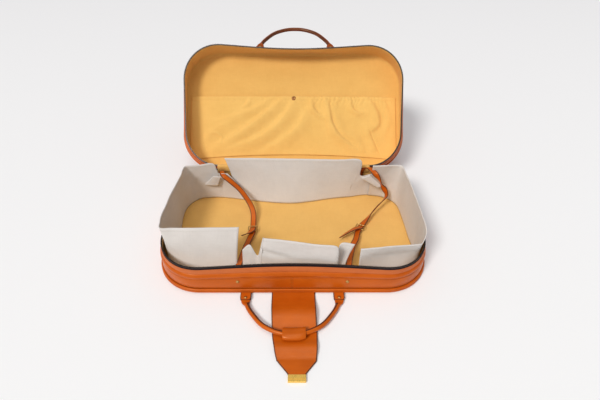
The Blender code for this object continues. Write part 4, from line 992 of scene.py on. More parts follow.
class Workbench:
    """Puts finished pieces in the scene and reports each."""

    def __init__(self, finishes: Finishes) -> None:
        """Starts with the finishes that pieces take."""
        self.finishes = finishes
        self.count = 0

    def bake(self, piece: bpy.types.Object) -> None:
        """Turns the piece's modifiers into plain mesh."""
        graph = bpy.context.evaluated_depsgraph_get()
        mesh = bpy.data.meshes.new_from_object(
            piece.evaluated_get(graph), preserve_all_data_layers=True, depsgraph=graph
        )
        piece.modifiers.clear()
        old = piece.data
        piece.data = mesh
        mesh.name = piece.name
        bpy.data.meshes.remove(old)

    def put(
        self, name: str, mesh: bpy.types.Mesh, slot: Slot, materials: Sequence[bpy.types.Material],
        ride: Ride, replaces: Sequence[str] = (), shell: Optional[Shell] = None
    ) -> bpy.types.Object:
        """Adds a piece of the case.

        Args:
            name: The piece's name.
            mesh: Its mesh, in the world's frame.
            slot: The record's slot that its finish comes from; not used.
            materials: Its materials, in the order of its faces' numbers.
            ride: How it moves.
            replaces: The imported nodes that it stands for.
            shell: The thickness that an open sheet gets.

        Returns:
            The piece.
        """
        numbers = np.zeros(len(mesh.polygons), np.int32)
        mesh.polygons.foreach_get("material_index", numbers)
        mesh.materials.clear()
        for material in materials:
            mesh.materials.append(material)
        mesh.polygons.foreach_set("material_index", np.minimum(numbers, len(materials) - 1))
        piece = bpy.data.objects.new(name, mesh)
        bpy.context.scene.collection.objects.link(piece)
        if shell:
            thick = piece.modifiers.new("thickness", "SOLIDIFY")
            thick.thickness = shell.thickness
            thick.offset = shell.offset
            thick.use_even_offset = shell.even
            self.bake(piece)
        ride.apply(piece)
        if replaces:
            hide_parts(*replaces)
        self.count += 1
        LOG.info("%3d %s: %d faces", self.count, name, len(piece.data.polygons))
        return piece

    def dress(self, nodes: Iterable[str], material: bpy.types.Material) -> None:
        """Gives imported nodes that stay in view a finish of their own."""
        for name in nodes:
            materials = frame["nodes"][name].data.materials
            if len(materials) == 0:
                materials.append(material)
            for index in range(len(materials)):
                materials[index] = material
            LOG.info("    %s keeps its packed mesh", name)


class RowKind(Enum):
    """What a row along a seam is made of."""

    STITCH = "stitch"
    TOOTH = "tooth"


@dataclass(frozen=True)
class RowSize:
    """The pitch of a row and the size of what repeats in it."""

    pitch: float
    length: float
    width: float
    height: float
    lean: float = 0.0


class RowMaker:
    """Lays stitches or zip teeth along lines with Geometry Nodes."""

    def __init__(self) -> None:
        """Builds one tree for each kind of row."""
        self.trees = {kind: self.tree(kind) for kind in RowKind}

    def tree(self, kind: RowKind) -> bpy.types.NodeTree:
        """The tree that repeats one small piece along a line.

        Args:
            kind: What repeats.

        Returns:
            The tree, with its inputs for the sizes and the finish.
        """
        tree = bpy.data.node_groups.new(f"{kind.value}_row", "GeometryNodeTree")
        sockets = {
            "Line": "Geometry", "Pitch": "Float", "Size": "Vector", "Lean": "Vector", "Finish": "Material"
        }
        for label, content in sockets.items():
            tree.interface.new_socket(label, in_out="INPUT", socket_type=f"NodeSocket{content}")
        tree.interface.new_socket("Row", in_out="OUTPUT", socket_type="NodeSocketGeometry")
        sheet = NodeSheet(tree)

        def step(
            name: str, feeds: dict[str, object], output: str, **settings: object
        ) -> bpy.types.NodeSocket:
            """Adds a node and gives one of its outputs."""
            return sheet.add(name, feeds, **settings).outputs[output]

        given = sheet.add("NodeGroupInput").outputs
        curve = step("GeometryNodeMeshToCurve", {"Mesh": given["Line"]}, "Curve")
        spaced = {"Curve": curve, "Length": given["Pitch"]}
        points = step("GeometryNodeResampleCurve", spaced, "Curve", mode="LENGTH")
        if kind is RowKind.STITCH:
            single = step("GeometryNodeMeshUVSphere", {"Segments": 6, "Rings": 4, "Radius": 0.5}, "Mesh")
        else:
            single = step("GeometryNodeMeshCube", {}, "Mesh")
        sized = step("GeometryNodeTransform", {"Geometry": single, "Scale": given["Size"]}, "Geometry")
        leaned = step("GeometryNodeTransform", {"Geometry": sized, "Rotation": given["Lean"]}, "Geometry")
        shading = {"Geometry": leaned, "Shade Smooth": kind is RowKind.STITCH}
        shaded = step("GeometryNodeSetShadeSmooth", shading, "Geometry")
        out = step("GeometryNodeInputNamedAttribute", {"Name": "out"}, "Attribute", data_type="FLOAT_VECTOR")
        upright = step("FunctionNodeAlignRotationToVector", {"Vector": out}, "Rotation", axis="Z")
        ahead = step("GeometryNodeInputTangent", {}, "Tangent")
        way = {"Rotation": upright, "Vector": ahead}
        turned = step("FunctionNodeAlignRotationToVector", way, "Rotation", axis="X", pivot_axis="Z")
        laid = {"Points": points, "Instance": shaded, "Rotation": turned}
        copies = step("GeometryNodeInstanceOnPoints", laid, "Instances")
        real = step("GeometryNodeRealizeInstances", {"Geometry": copies}, "Geometry")
        coloured = {"Geometry": real, "Material": given["Finish"]}
        sheet.add("NodeGroupOutput", {"Row": step("GeometryNodeSetMaterial", coloured, "Geometry")})
        return tree

    def mesh(
        self, name: str, kind: RowKind, size: RowSize, lines: Sequence[tuple[Rows, Rows]],
        finish: bpy.types.Material
    ) -> bpy.types.Mesh:
        """The mesh of one or more rows.

        Args:
            name: The mesh's name.
            kind: What repeats.
            size: Its pitch and size.
            lines: The points of each line and the way out of the surface at each.
            finish: The rows' material.

        Returns:
            A plain mesh.
        """
        path = bpy.data.meshes.new(f"{name}_line")
        points = np.vstack([line for line, _ in lines])
        out = np.vstack([ways for _, ways in lines]).astype(np.float32)
        starts = np.cumsum([0, *(len(line) for line, _ in lines)])
        edges = [
            (index, index + 1) for first, last in zip(starts, starts[1:]) for index in range(first, last - 1)
        ]
        path.from_pydata(points.tolist(), edges, [])
        path.attributes.new("out", "FLOAT_VECTOR", "POINT").data.foreach_set("vector", out.ravel())
        holder = bpy.data.objects.new(name, path)
        bpy.context.scene.collection.objects.link(holder)
        rows = holder.modifiers.new("rows", "NODES")
        rows.node_group = self.trees[kind]
        values = {
            "Pitch": size.pitch, "Size": (size.length, size.width, size.height),
            "Lean": (0.0, 0.0, size.lean), "Finish": finish
        }
        for socket in self.trees[kind].interface.items_tree:
            if socket.name in values:
                rows[socket.identifier] = values[socket.name]
        shown = holder.evaluated_get(bpy.context.evaluated_depsgraph_get())
        mesh = bpy.data.meshes.new_from_object(shown)
        bpy.data.objects.remove(holder)
        bpy.data.meshes.remove(path)
        return mesh


STITCH = RowSize(pitch=0.0033, length=0.0025, width=0.0007, height=0.0006, lean=0.16)
CLOTH_STITCH = RowSize(pitch=0.0028, length=0.0021, width=0.0005, height=0.0004)
TEETH = RowSize(pitch=0.0025, length=0.0013, width=0.0014, height=0.0032)


@dataclass(frozen=True)
class Fold:
    """One soft ridge or crease in cloth, along a smooth line on its flat plan."""

    line: tuple[tuple[float, float], ...]
    width: float
    height: float
    skew: float = 1.0
    end_share: float = 0.08
    end_power: float = 0.7

    def lift(self, places: Rows) -> Rows:
        """How far the fold raises each place of the plan.

        Args:
            places: Points of the plan, in an array whose last axis holds two numbers.

        Returns:
            The lift at each point, in metres.
        """
        path = smooth_line(self.line, 8)
        ahead = headings(path)
        flat = places.reshape(-1, 2)
        offset = flat[:, None, :] - path[None, :, :]
        nearest = np.argmin(np.sum(offset**2, axis=2), axis=1)
        picked = offset[np.arange(len(flat)), nearest]
        way = ahead[nearest]
        beside = way[:, 0] * picked[:, 1] - way[:, 1] * picked[:, 0]
        along = np.sum(way * picked, axis=1)
        share = nearest / (len(path) - 1)
        inside = share * (1 - 2 * self.end_share) + self.end_share
        taper = np.sin(math.pi * np.clip(inside, 0, 1)) ** self.end_power
        width = np.where(beside > 0, self.width * self.skew, self.width / self.skew)
        profile = np.exp(-((beside / width) ** 2)) * np.exp(-((along / (2 * self.width)) ** 2))
        return (self.height * taper * profile).reshape(places.shape[:-1])


@dataclass(frozen=True)
class BandSection:
    """The cross-section of a leather band round the wall, with rolled edges."""

    low: float
    high: float
    thickness: float
    bulge: float
    roll: float
    creases: tuple[float, ...] = ()
    crease_depth: float = 0.00035
    crease_width: float = 0.0006
    steps: int = 10

    def points(self) -> list[tuple[float, float]]:
        """Height and how far proud of the wall, up the outer face and down the inner one."""
        turn = np.radians(np.linspace(0, 90, 5))
        rolled = self.roll * (np.sin(turn) - 1)
        rise = self.roll * (1 - np.cos(turn))
        middle = np.linspace(self.low + self.roll, self.high - self.roll, self.steps + 1)[1:-1]
        extra = [crease + step * self.crease_width for crease in self.creases for step in range(-2, 3)]
        middle = np.sort(np.concatenate([middle, extra]))
        heights = np.concatenate([self.low + rise, middle, self.high - rise[::-1]])
        proud = np.concatenate([rolled, np.zeros(len(middle)), rolled[::-1]])
        share = (heights - self.low) / (self.high - self.low)
        proud += self.bulge * np.sin(math.pi * share)
        for crease in self.creases:
            proud -= self.crease_depth * np.exp(-(((heights - crease) / self.crease_width) ** 2))
        inner = np.linspace(self.high - self.roll / 2, self.low + self.roll / 2, 4)
        inner_share = (inner - self.low) / (self.high - self.low)
        behind = self.bulge * np.sin(math.pi * inner_share) - self.thickness
        return [*zip(heights, proud), *zip(inner, behind)]


class Tools:
    """What every sub-assembly builds with: the bench, the finishes and the row maker."""

    def __init__(self, bench: Workbench, rows: RowMaker) -> None:
        """Keeps the shared tools."""
        self.bench = bench
        self.finishes = bench.finishes
        self.rows = rows

    def sew(
        self, name: str, lines: Sequence[tuple[Rows, Rows]], ride: Ride, thread: bpy.types.Material,
        slot: Slot = Slot.LEATHER, size: RowSize = STITCH
    ) -> bpy.types.Object:
        """Adds stitches along lines.

        Args:
            name: The piece's name.
            lines: Each line's points and the way out of the surface there.
            ride: How the stitches move.
            thread: Their finish.
            slot: The record's slot that the finish comes from.
            size: The stitches' pitch and size.

        Returns:
            The piece.
        """
        mesh = self.rows.mesh(name, RowKind.STITCH, size, lines, thread)
        return self.bench.put(name, mesh, slot, [thread], ride)


def wall_line(half: HalfShape, z: float, proud: float, run: Run) -> tuple[Rows, Rows]:
    """A line round the wall and the way out of the wall at each point, in the world."""
    line = half.wall(z, proud, run)
    if run is Run.WHOLE:
        line = np.vstack([line, line[:1]])
    ahead = headings(line)
    out = np.cross(ahead, np.array([0.0, 0.0, 1.0]))
    return half.world(line), half.direction(unit(out))


@dataclass
class CaseHalf:
    """One half of the case: panel, board, piping, wall bands, zip and lining."""

    shape: HalfShape
    label: str
    case: str
    notches: Sequence[tuple[float, float, float]]
    gusset_bulge: float = 0.0012
    gusset_thickness: float = 0.0022
    welt_bulge: float = 0.0030
    welt_thickness: float = 0.0020
    facing_thickness: float = 0.0018
    tape_thickness: float = 0.0024
    seam_x: float = -0.0031
    seam_gap: float = 0.0005
    lining_depth: float = 0.0030
    lining_fillet: float = 0.0085
    gusset_roll: float = 0.0011
    foot_seam: float = 0.0022
    top_seam: float = 0.0020
    seam_stitch: float = 0.0022
    seam_end: float = 0.004
    stitch_proud: float = 0.0003
    welt_roll: float = 0.0010
    facing_bulge: float = 0.0004
    facing_roll: float = 0.0008
    facing_seam: float = 0.0024
    facing_crease: float = 0.0002
    facing_stitch_proud: float = 0.0001
    tape_rim: float = 0.0006
    tape_roll: float = 0.0004
    panel_bevel: float = 0.0009
    lining_rim: float = 0.0016
    lining_seam: float = 0.0050
    lining_wave: float = 0.0006
    lining_wave_length: float = 0.09
    lining_ruck: float = 0.00025
    lining_ruck_length: float = 0.03
    lining_lowest: float = -0.0004
    wall_ruck: float = 0.0003
    floor_rings: int = 18
    lining_thickness: float = 0.0007
    stitch_inset: float = 0.0062
    ride: Ride = field(init=False)

    def __post_init__(self) -> None:
        """Works out how the half's pieces move."""
        self.ride = Ride(self.shape.body)

    def build(self, tools: Tools) -> None:
        """Makes every piece of the half."""
        self.add_panel(tools)
        self.add_board(tools)
        self.add_piping(tools)
        self.add_wall(tools)
        self.add_zip(tools)
        self.add_lining(tools)

    def sweep(self, name: str, section: Sequence[tuple[float, float]], run: Run) -> bpy.types.Mesh:
        """A closed cross-section carried round the wall."""
        rings = [self.shape.wall(z, proud, run, self.seam_x, self.seam_gap) for z, proud in section]
        closed = run is Run.WHOLE
        points = self.shape.world(np.stack(rings))
        return MeshKit.grid(name, points, wrap_rows=True, wrap_columns=closed, caps=not closed)

    def add_panel(self, tools: Tools) -> None:
        """The outer panel, let in round the leather roots at its front edge."""
        plan = BRIM.inset(PANEL_INSET)
        ring = plan.ring(Run.WHOLE)
        front = np.isclose(ring[:, 1], -plan.half_depth)
        first = int(np.argmax(front))
        count = int(front.sum())
        edge_y = -plan.half_depth
        cuts = [ring[first]]
        for x, width, length in sorted(self.notches):
            reach = -CASE_DEPTH / 2 + length + GAP
            half = width / 2 + GAP
            cuts += [(x - half, edge_y), (x - half, reach), (x + half, reach), (x + half, edge_y)]
        cuts.append(ring[first + count - 1])
        outline = np.vstack([ring[:first], np.array(cuts), ring[first + count :]])
        form = bmesh.new()
        low = [form.verts.new((x, y, 0)) for x, y in outline]
        form.faces.new(low)
        made = bmesh.ops.extrude_face_region(form, geom=form.faces[:])
        raised = [item for item in made["geom"] if isinstance(item, bmesh.types.BMVert)]
        bmesh.ops.translate(form, vec=(0, 0, PANEL_THICKNESS), verts=raised)
        bmesh.ops.recalc_face_normals(form, faces=form.faces)
        rim = [
            edge
            for edge in form.edges
            if all(abs(vert.co.z) < GAP / 2 for vert in edge.verts) and len(edge.link_faces) == 2
        ]
        bmesh.ops.bevel(form, geom=rim, offset=self.panel_bevel, segments=3, profile=0.5, affect="EDGES")
        bmesh.ops.triangulate(form, faces=[face for face in form.faces if len(face.verts) > 4])
        mesh = bpy.data.meshes.new(f"{self.case}_panel_leather")
        form.to_mesh(mesh)
        form.free()
        mesh.transform(self.shape.place)
        MeshKit.smoothed(mesh, SOFT_SHARP)
        tools.bench.put(
            f"{self.case}_panel_leather", mesh, Slot.LEATHER, [tools.finishes.leather], self.ride,
            [f"{self.case}_panel"]
        )
        sewn = BRIM.inset(self.stitch_inset).ring(Run.WHOLE)
        sewn = np.vstack([sewn, sewn[:1]])
        line = np.column_stack([sewn, np.full(len(sewn), STITCH.height / 4)])
        down = np.tile([0.0, 0.0, -1.0], (len(line), 1))
        tools.sew(
            f"{self.case}_panel_stitches", [(self.shape.world(line), self.shape.direction(down))],
            self.ride, tools.finishes.tan_thread
        )

    def add_board(self, tools: Tools) -> None:
        """The leather-bound board, whose rounded edge stands out all round."""
        half = BOARD_THICKNESS / 2
        rows = []
        for angle in np.radians(np.linspace(-90, 90, 9)):
            z = BOARD_Z + half + half * math.sin(angle)
            ring = BRIM.inset(half * (1 - math.cos(angle))).ring(Run.WHOLE)
            rows.append(np.column_stack([ring, np.full(len(ring), z)]))
        mesh = MeshKit.grid(
            f"{self.case}_board_binding", self.shape.world(np.stack(rows)), wrap_columns=True, caps=True
        )
        leather = [tools.finishes.leather]
        tools.bench.put(mesh.name, mesh, Slot.DARK_LEATHER, leather, self.ride, [f"{self.case}_board"])

    def add_piping(self, tools: Tools) -> None:
        """The round piping between the board and the gusset."""
        turn = np.radians(np.arange(0, 360, 30))
        plan = BRIM.inset(PIPING_RADIUS + GAP)
        rows = []
        for angle in turn:
            ring = plan.inset(-PIPING_RADIUS * math.cos(angle)).ring(Run.WHOLE)
            rows.append(
                np.column_stack([ring, np.full(len(ring), PIPING_Z + PIPING_RADIUS * math.sin(angle))])
            )
        mesh = MeshKit.grid(
            f"{self.case}_piping_cord", self.shape.world(np.stack(rows)), wrap_rows=True, wrap_columns=True
        )
        tools.bench.put(
            mesh.name, mesh, Slot.LEATHER, [tools.finishes.leather], self.ride, [f"{self.case}_piping"]
        )

    def add_wall(self, tools: Tools) -> None:
        """The gusset with its seam in front, the padded welt, and their stitches."""
        shape, finishes = self.shape, tools.finishes
        top = shape.gusset_top
        seams = (WALL_Z + self.foot_seam, top - self.top_seam)
        gusset = BandSection(WALL_Z, top, self.gusset_thickness, self.gusset_bulge, self.gusset_roll, seams)
        welt_top = shape.welt_z + WELT_HEIGHT
        welt = BandSection(
            shape.welt_z, welt_top, self.welt_thickness, self.welt_bulge, self.welt_roll, steps=14
        )
        for part, section, run in (("gusset", gusset, Run.SEAMED), ("welt", welt, Run.WHOLE)):
            name = f"{self.label}_{part}"
            mesh = self.sweep(f"{name}_leather", section.points(), run)
            tools.bench.put(mesh.name, mesh, Slot.LEATHER, [finishes.leather], self.ride, [name])
        rows = [wall_line(shape, z, self.stitch_proud, Run.WHOLE) for z in seams]
        heights = np.linspace(WALL_Z + self.seam_end, top - self.seam_end, 12)
        bulge = self.gusset_bulge * np.sin(math.pi * (heights - WALL_Z) / (top - WALL_Z))
        seam = []
        for side in (-1, 1):
            x = self.seam_x + side * self.seam_stitch
            line = np.array([shape.front(x, z, swell) for z, swell in zip(heights, bulge)])
            out = np.tile([0.0, -1.0, 0.0], (len(line), 1))
            seam.append((shape.world(line), shape.direction(out)))
        for part, lines in (("gusset", rows), ("gusset_seam", seam)):
            tools.sew(f"{self.label}_{part}_stitches", lines, self.ride, finishes.tan_thread)

    def add_zip(self, tools: Tools) -> None:
        """The pale facing, the black tape and the zip's teeth."""
        shape, finishes, bench = self.shape, tools.finishes, tools.bench
        seam_z = shape.tape_z - GAP - self.facing_seam
        facing_top = shape.facing_z + FACING_HEIGHT
        facing = BandSection(
            shape.facing_z, facing_top, self.facing_thickness, self.facing_bulge, self.facing_roll,
            (seam_z,), self.facing_crease
        )
        name = f"{self.label}_zip_facing"
        mesh = self.sweep(f"{name}_leather", facing.points(), Run.ZIP)
        bench.put(mesh.name, mesh, Slot.LIGHT_LEATHER, [finishes.pale], self.ride, [name])
        line = wall_line(shape, seam_z, self.facing_stitch_proud, Run.ZIP)
        tools.sew(f"{self.label}_facing_stitches", [line], self.ride, finishes.tan_thread)
        tape_top = shape.height - self.tape_rim
        tape = BandSection(shape.tape_z, tape_top, self.tape_thickness, 0.0, self.tape_roll)
        mesh = self.sweep(f"{self.label}_zip_cloth", tape.points(), Run.ZIP)
        bench.put(mesh.name, mesh, Slot.ZIP_TAPE, [finishes.tape], self.ride, [f"{self.label}_zip_tape"])
        line = wall_line(shape, shape.height - TEETH.width / 2, -self.tape_thickness / 2, Run.ZIP)
        name = f"{self.label}_zip_teeth"
        teeth = tools.rows.mesh(name, RowKind.TOOTH, TEETH, [line], finishes.teeth)
        bench.put(name, teeth, Slot.ZIP_TAPE, [finishes.teeth], self.ride)

    def lining_rings(self) -> tuple[Rows, Rows]:
        """The lining's rings from its rim down to the middle of the floor, and their flat plan.

        Returns:
            The rings in the half's frame and the flat place of each point, each as rows of columns.
        """
        shape = self.shape
        reach = self.lining_fillet
        rings = []
        runs = []
        rim = shape.height - self.lining_rim
        foot = FLOOR_TOP + reach
        wall_heights = np.linspace(rim, foot, 12)
        for z in wall_heights:
            rings.append(shape.wall(z, -self.lining_depth, Run.WHOLE))
            runs.append(z - foot + reach * math.pi / 2)
        for angle in np.radians(np.linspace(0, 90, 7)[1:]):
            z = FLOOR_TOP + reach * (1 - math.sin(angle))
            inset = self.lining_depth + reach * (1 - math.cos(angle))
            rings.append(shape.wall(z, -inset, Run.WHOLE))
            runs.append(reach * (math.pi / 2 - angle))
        edge = rings[-1]
        flat_edge = edge[:, :2]
        ahead = headings(np.vstack([flat_edge[-1:], flat_edge, flat_edge[:1]]))[1:-1]
        out = np.stack([ahead[:, 1], -ahead[:, 0]], axis=1)
        plans = [flat_edge + out * run for run in runs]
        for share in 1 - np.arange(1, self.floor_rings + 1) / (self.floor_rings + 0.5):
            inner = edge.copy()
            inner[:, :2] *= share
            rings.append(inner)
            plans.append(inner[:, :2])
        return np.stack(rings), np.stack(plans)

    def add_lining(self, tools: Tools) -> None:
        """The mustard cotton that covers the floor and the walls in one."""
        rings, plans = self.lining_rings()
        waves = self.lining_wave * ripple(rings, self.lining_wave_length, 11 if self.label == "lower" else 23)
        fine = ripple(rings, self.lining_ruck_length, 5, 2)
        depth = rings[:, :, 2]
        wallness = np.clip((depth - FLOOR_TOP) / self.lining_fillet, 0, 1)
        rings[:, :, 2] += (1 - wallness) * np.maximum(waves + self.lining_ruck * fine, self.lining_lowest)
        rings[:, :, 1] += wallness * self.wall_ruck * fine * np.sign(-rings[:, :, 1])
        closed = np.concatenate([plans, plans[:, :1]], axis=1)
        name = f"{self.case}_lining_cloth"
        mesh = MeshKit.grid(name, self.shape.world(rings), wrap_columns=True, plane=closed, pole=True)
        replaced = ["floor_lining" if self.case == "base" else "lid_lining", f"{self.label}_wall_lining"]
        piece = tools.bench.put(
            name, mesh, Slot.COTTON, [tools.finishes.cotton], self.ride, replaced,
            Shell(self.lining_thickness, -1)
        )
        tools.sew(
            f"{self.case}_lining_stitches", [self.rim_line()], self.ride, tools.finishes.mustard_thread,
            Slot.COTTON, CLOTH_STITCH
        )

    def rim_line(self) -> tuple[Rows, Rows]:
        """The line of the stitches that hold the lining to the zip, and the way into the case."""
        line, out = wall_line(self.shape, self.shape.height - self.lining_seam, -self.lining_depth, Run.ZIP)
        return line, -out


@dataclass
class Spine:
    """The leather hinge across the rear and the lining inside it."""

    thickness: float = 0.0018
    side_gap: float = 0.0012
    arch: float = 0.005
    lining_arch: float = 0.019
    lining_inset: float = 0.0036
    lining_overlap: float = 0.006
    lining_thickness: float = 0.0007
    lining_wave: float = 0.0005
    lining_wave_length: float = 0.05
    stitch_inset: float = 0.003
    shortest_flat: float = 0.0101
    steps: int = 14

    def strip(self, path: Rows, half_width: float, columns: int = 40) -> Rows:
        """A path of y and z carried across the case, as rows of columns that look to the rear."""
        x = np.linspace(half_width, -half_width, columns + 1)
        rows = [np.column_stack([x, np.full_like(x, y), np.full_like(x, z)]) for y, z in path]
        return np.stack(rows)

    def bridge(self, start: Vector, end: Vector, reach: float) -> Rows:
        """A smooth arch from one half's mouth to the other's."""
        up = Vector((0, 0, reach))
        into = LID.place.to_3x3() @ up
        points = [start, start + up, end + into, end]
        line = []
        for step in range(self.steps + 1):
            t = step / self.steps
            weights = ((1 - t) ** 3, 3 * t * (1 - t) ** 2, 3 * t**2 * (1 - t), t**3)
            place = sum((point * weight for point, weight in zip(points, weights)), Vector())
            line.append((place.y, place.z))
        return np.array(line)

    def build(self, tools: Tools) -> None:
        """Makes the leather strip, its stitches and the inner cloth."""
        base_y = BASE.plan_at(BASE.facing_z).half_depth - self.thickness / 2
        lid_y = LID.plan_at(LID.facing_z).half_depth - self.thickness / 2
        start = Vector((0, base_y, BASE.height))
        end = LID.place @ Vector((0, lid_y, LID.height))
        arch = self.bridge(start, end, self.arch)
        lower = [(base_y, z) for z in np.linspace(BASE.facing_z, BASE.height, 8)[:-1]]
        upper = [LID.place @ Vector((0, lid_y, z)) for z in np.linspace(LID.height, LID.facing_z, 8)[1:]]
        path = np.vstack([lower, arch, [(point.y, point.z) for point in upper]])
        rear = BASE.plan_at(BASE.facing_z)
        half_width = rear.ring(Run.REAR)[0, 0] - self.side_gap
        ride = Ride("base", "lid", tuple(start), tuple(end))
        mesh = MeshKit.grid("spine_leather", self.strip(path, half_width))
        tools.bench.put(
            "spine_leather", mesh, Slot.LEATHER, [tools.finishes.leather], ride,
            ["spine_lower_leaf", "spine_arch", "spine_upper_leaf"], Shell(self.thickness, 0)
        )
        lines = []
        for row in (2, len(path) - 3):
            line = self.strip(path, half_width - self.stitch_inset)[row]
            ahead = headings(path)[row]
            out = np.tile([0.0, ahead[1], -ahead[0]], (len(line), 1))
            lines.append((line + out * self.thickness / 2, out))
        tools.sew("spine_lower_stitches", lines[:1], Ride("base"), tools.finishes.tan_thread)
        tools.sew("spine_upper_stitches", lines[1:], Ride("lid"), tools.finishes.tan_thread)
        self.add_inner_cloth(tools, half_width)

    def add_inner_cloth(self, tools: Tools, half_width: float) -> None:
        """The cotton that covers the hinge inside the case."""
        low = BASE.height - self.lining_overlap
        near = Vector((0, BASE.plan_at(low).half_depth - self.lining_inset, low))
        high = LID.height - self.lining_overlap
        far = LID.place @ Vector((0, LID.plan_at(high).half_depth - self.lining_inset, high))
        path = self.bridge(near, far, self.lining_arch)
        grid = self.strip(path, half_width, 60)[:, ::-1]
        grid[:, :, 2] += self.lining_wave * ripple(grid, self.lining_wave_length, 41)
        mesh = MeshKit.grid("hinge_lining_cloth", grid)
        piece = tools.bench.put(
            "hinge_lining_cloth", mesh, Slot.COTTON, [tools.finishes.cotton],
            Ride("base", "lid", tuple(near), tuple(far)), (), Shell(self.lining_thickness, 0)
        )


@dataclass
class LidPocket:
    """The wide gathered pocket on the lid's lining, with its hem and press stud."""

    hem: float = 0.188
    foot: float = 0.0415
    foot_rise: float = 0.011
    half_width: float = 0.2570
    side_margin: float = 0.0010
    slack: float = 0.0048
    hem_depth: float = 0.0085
    hem_thickness: float = 0.0007
    columns: int = 250
    rows_down: int = 110
    gather_pitch: float = 0.0105
    gather_reach: float = 0.017
    gather_height: float = 0.0008
    gather_wander: float = 0.009
    wave: float = 0.0007
    wave_length: float = 0.075
    ruck: float = 0.0002
    ruck_length: float = 0.018
    seat: float = 0.0008
    snap_distance: float = 0.1825
    thickness: float = 0.0009
    folds: tuple[Fold, ...] = (
        Fold(
            ((-0.030, 0.180), (-0.062, 0.150), (-0.110, 0.112), (-0.160, 0.078), (-0.205, 0.052)), 0.0112,
            0.0074, 1.5
        ),
        Fold(
            ((0.002, 0.176), (-0.024, 0.136), (-0.060, 0.100), (-0.105, 0.074), (-0.155, 0.056)), 0.0120,
            0.0071, 1.5
        ),
        Fold(((0.034, 0.150), (0.012, 0.112), (-0.022, 0.080), (-0.070, 0.052)), 0.0128, 0.0056, 1.4),
        Fold(((-0.064, 0.176), (-0.098, 0.156), (-0.140, 0.140), (-0.190, 0.126)), 0.0096, 0.0048, 1.4),
        Fold(((-0.110, 0.180), (-0.116, 0.168), (-0.128, 0.160)), 0.0058, 0.0034, 1.2),
        Fold(((-0.160, 0.120), (-0.190, 0.108), (-0.214, 0.090), (-0.222, 0.070)), 0.0096, 0.0045, 1.3),
        Fold(
            ((-0.205, 0.094), (-0.190, 0.094), (-0.180, 0.084), (-0.184, 0.072), (-0.198, 0.068)), 0.0032,
            0.0028, 1.0
        ),
        Fold(((-0.216, 0.052), (-0.221, 0.066), (-0.224, 0.078)), 0.0016, -0.0019, 1.0),
        Fold(((0.046, 0.180), (0.046, 0.160), (0.056, 0.146), (0.070, 0.137)), 0.0058, 0.0053, 0.7),
        Fold(
            ((0.082, 0.181), (0.087, 0.150), (0.094, 0.118), (0.112, 0.088), (0.146, 0.060)), 0.0083,
            0.0085, 0.6
        ),
        Fold(((0.098, 0.176), (0.104, 0.140), (0.118, 0.108), (0.146, 0.080)), 0.0112, 0.0040, 1.0),
        Fold(((0.140, 0.180), (0.146, 0.158), (0.158, 0.147), (0.174, 0.147)), 0.0058, 0.0056, 0.7),
        Fold(
            ((0.186, 0.181), (0.200, 0.162), (0.210, 0.140), (0.210, 0.118), (0.192, 0.102)), 0.0096,
            0.0101, 0.6
        ),
        Fold(((0.190, 0.104), (0.200, 0.078), (0.212, 0.052), (0.222, 0.034)), 0.0022, -0.0047, 1.0),
        Fold(((0.186, 0.096), (0.194, 0.074), (0.205, 0.050)), 0.0096, 0.0056, 1.2),
        Fold(((0.226, 0.176), (0.238, 0.150), (0.241, 0.128), (0.233, 0.104)), 0.0077, 0.0074, 0.7),
        Fold(((0.150, 0.092), (0.166, 0.066), (0.176, 0.046)), 0.0090, 0.0037, 1.0)
    )

    def outline_half(self, distance: Rows) -> Rows:
        """Half the pocket's width at a distance from the hinge, inside the lid's floor."""
        plan = FOOT.inset(0.0040)
        y = np.clip(HINGE_Y - distance, -plan.half_depth, plan.half_depth)
        corner_y = plan.half_depth - plan.rear_corner
        over = np.maximum(y - corner_y, 0)
        reach = np.sqrt(np.maximum(plan.rear_corner**2 - over**2, 0))
        floor = plan.half_width - plan.rear_corner + np.where(over > 0, reach, plan.rear_corner)
        return np.minimum(floor - self.side_margin, self.half_width)

    def surface(self) -> tuple[Rows, Rows]:
        """The pocket's cloth.

        Returns:
            Its points in the lid's frame and their places on the flat plan, each as rows of columns.
        """
        side = np.linspace(-1, 1, self.columns + 1)
        down = np.linspace(0, 1, self.rows_down + 1)
        across, share = np.meshgrid(side, down)
        foot = self.foot - self.foot_rise * across**2
        distance = self.hem + (foot - self.hem) * share
        x = across * self.outline_half(distance)
        plan = np.stack([x, distance], axis=-1)
        crown = 1 - np.abs(across) ** 4
        lift = self.slack * np.maximum(1 - share, 0) ** 0.8 * crown
        rim = crown * np.sqrt(np.clip((1 - share) * 9, 0, 1))
        for fold in self.folds:
            lift = lift + fold.lift(plan) * rim
        right = np.clip((x - 0.02) / 0.05, 0, 1)
        strength = 0.25 + 0.75 * right
        below = self.hem - distance
        near = np.exp(-(((below - self.hem_depth) / self.gather_reach) ** 2))
        wander = self.gather_wander * ripple(plan, 0.06, 3)
        pleat = np.sin(2 * math.pi * (x + wander) / self.gather_pitch)
        lift = lift + self.gather_height * strength * near * np.sign(pleat) * np.abs(pleat) ** 0.7 * crown
        waves = self.wave * ripple(plan, self.wave_length, 7) + self.ruck * ripple(plan, self.ruck_length, 9)
        lift = lift + waves * rim
        hem = np.clip((self.hem_depth - below) / 0.0008, 0, 1) * self.hem_thickness
        seat = self.seat + self.seat * np.clip(crown * 6, 0, 1)
        z = FLOOR_TOP + seat + np.maximum(lift, -0.0006) + hem
        points = np.stack([-x, HINGE_Y - distance, z], axis=-1)
        return points, plan

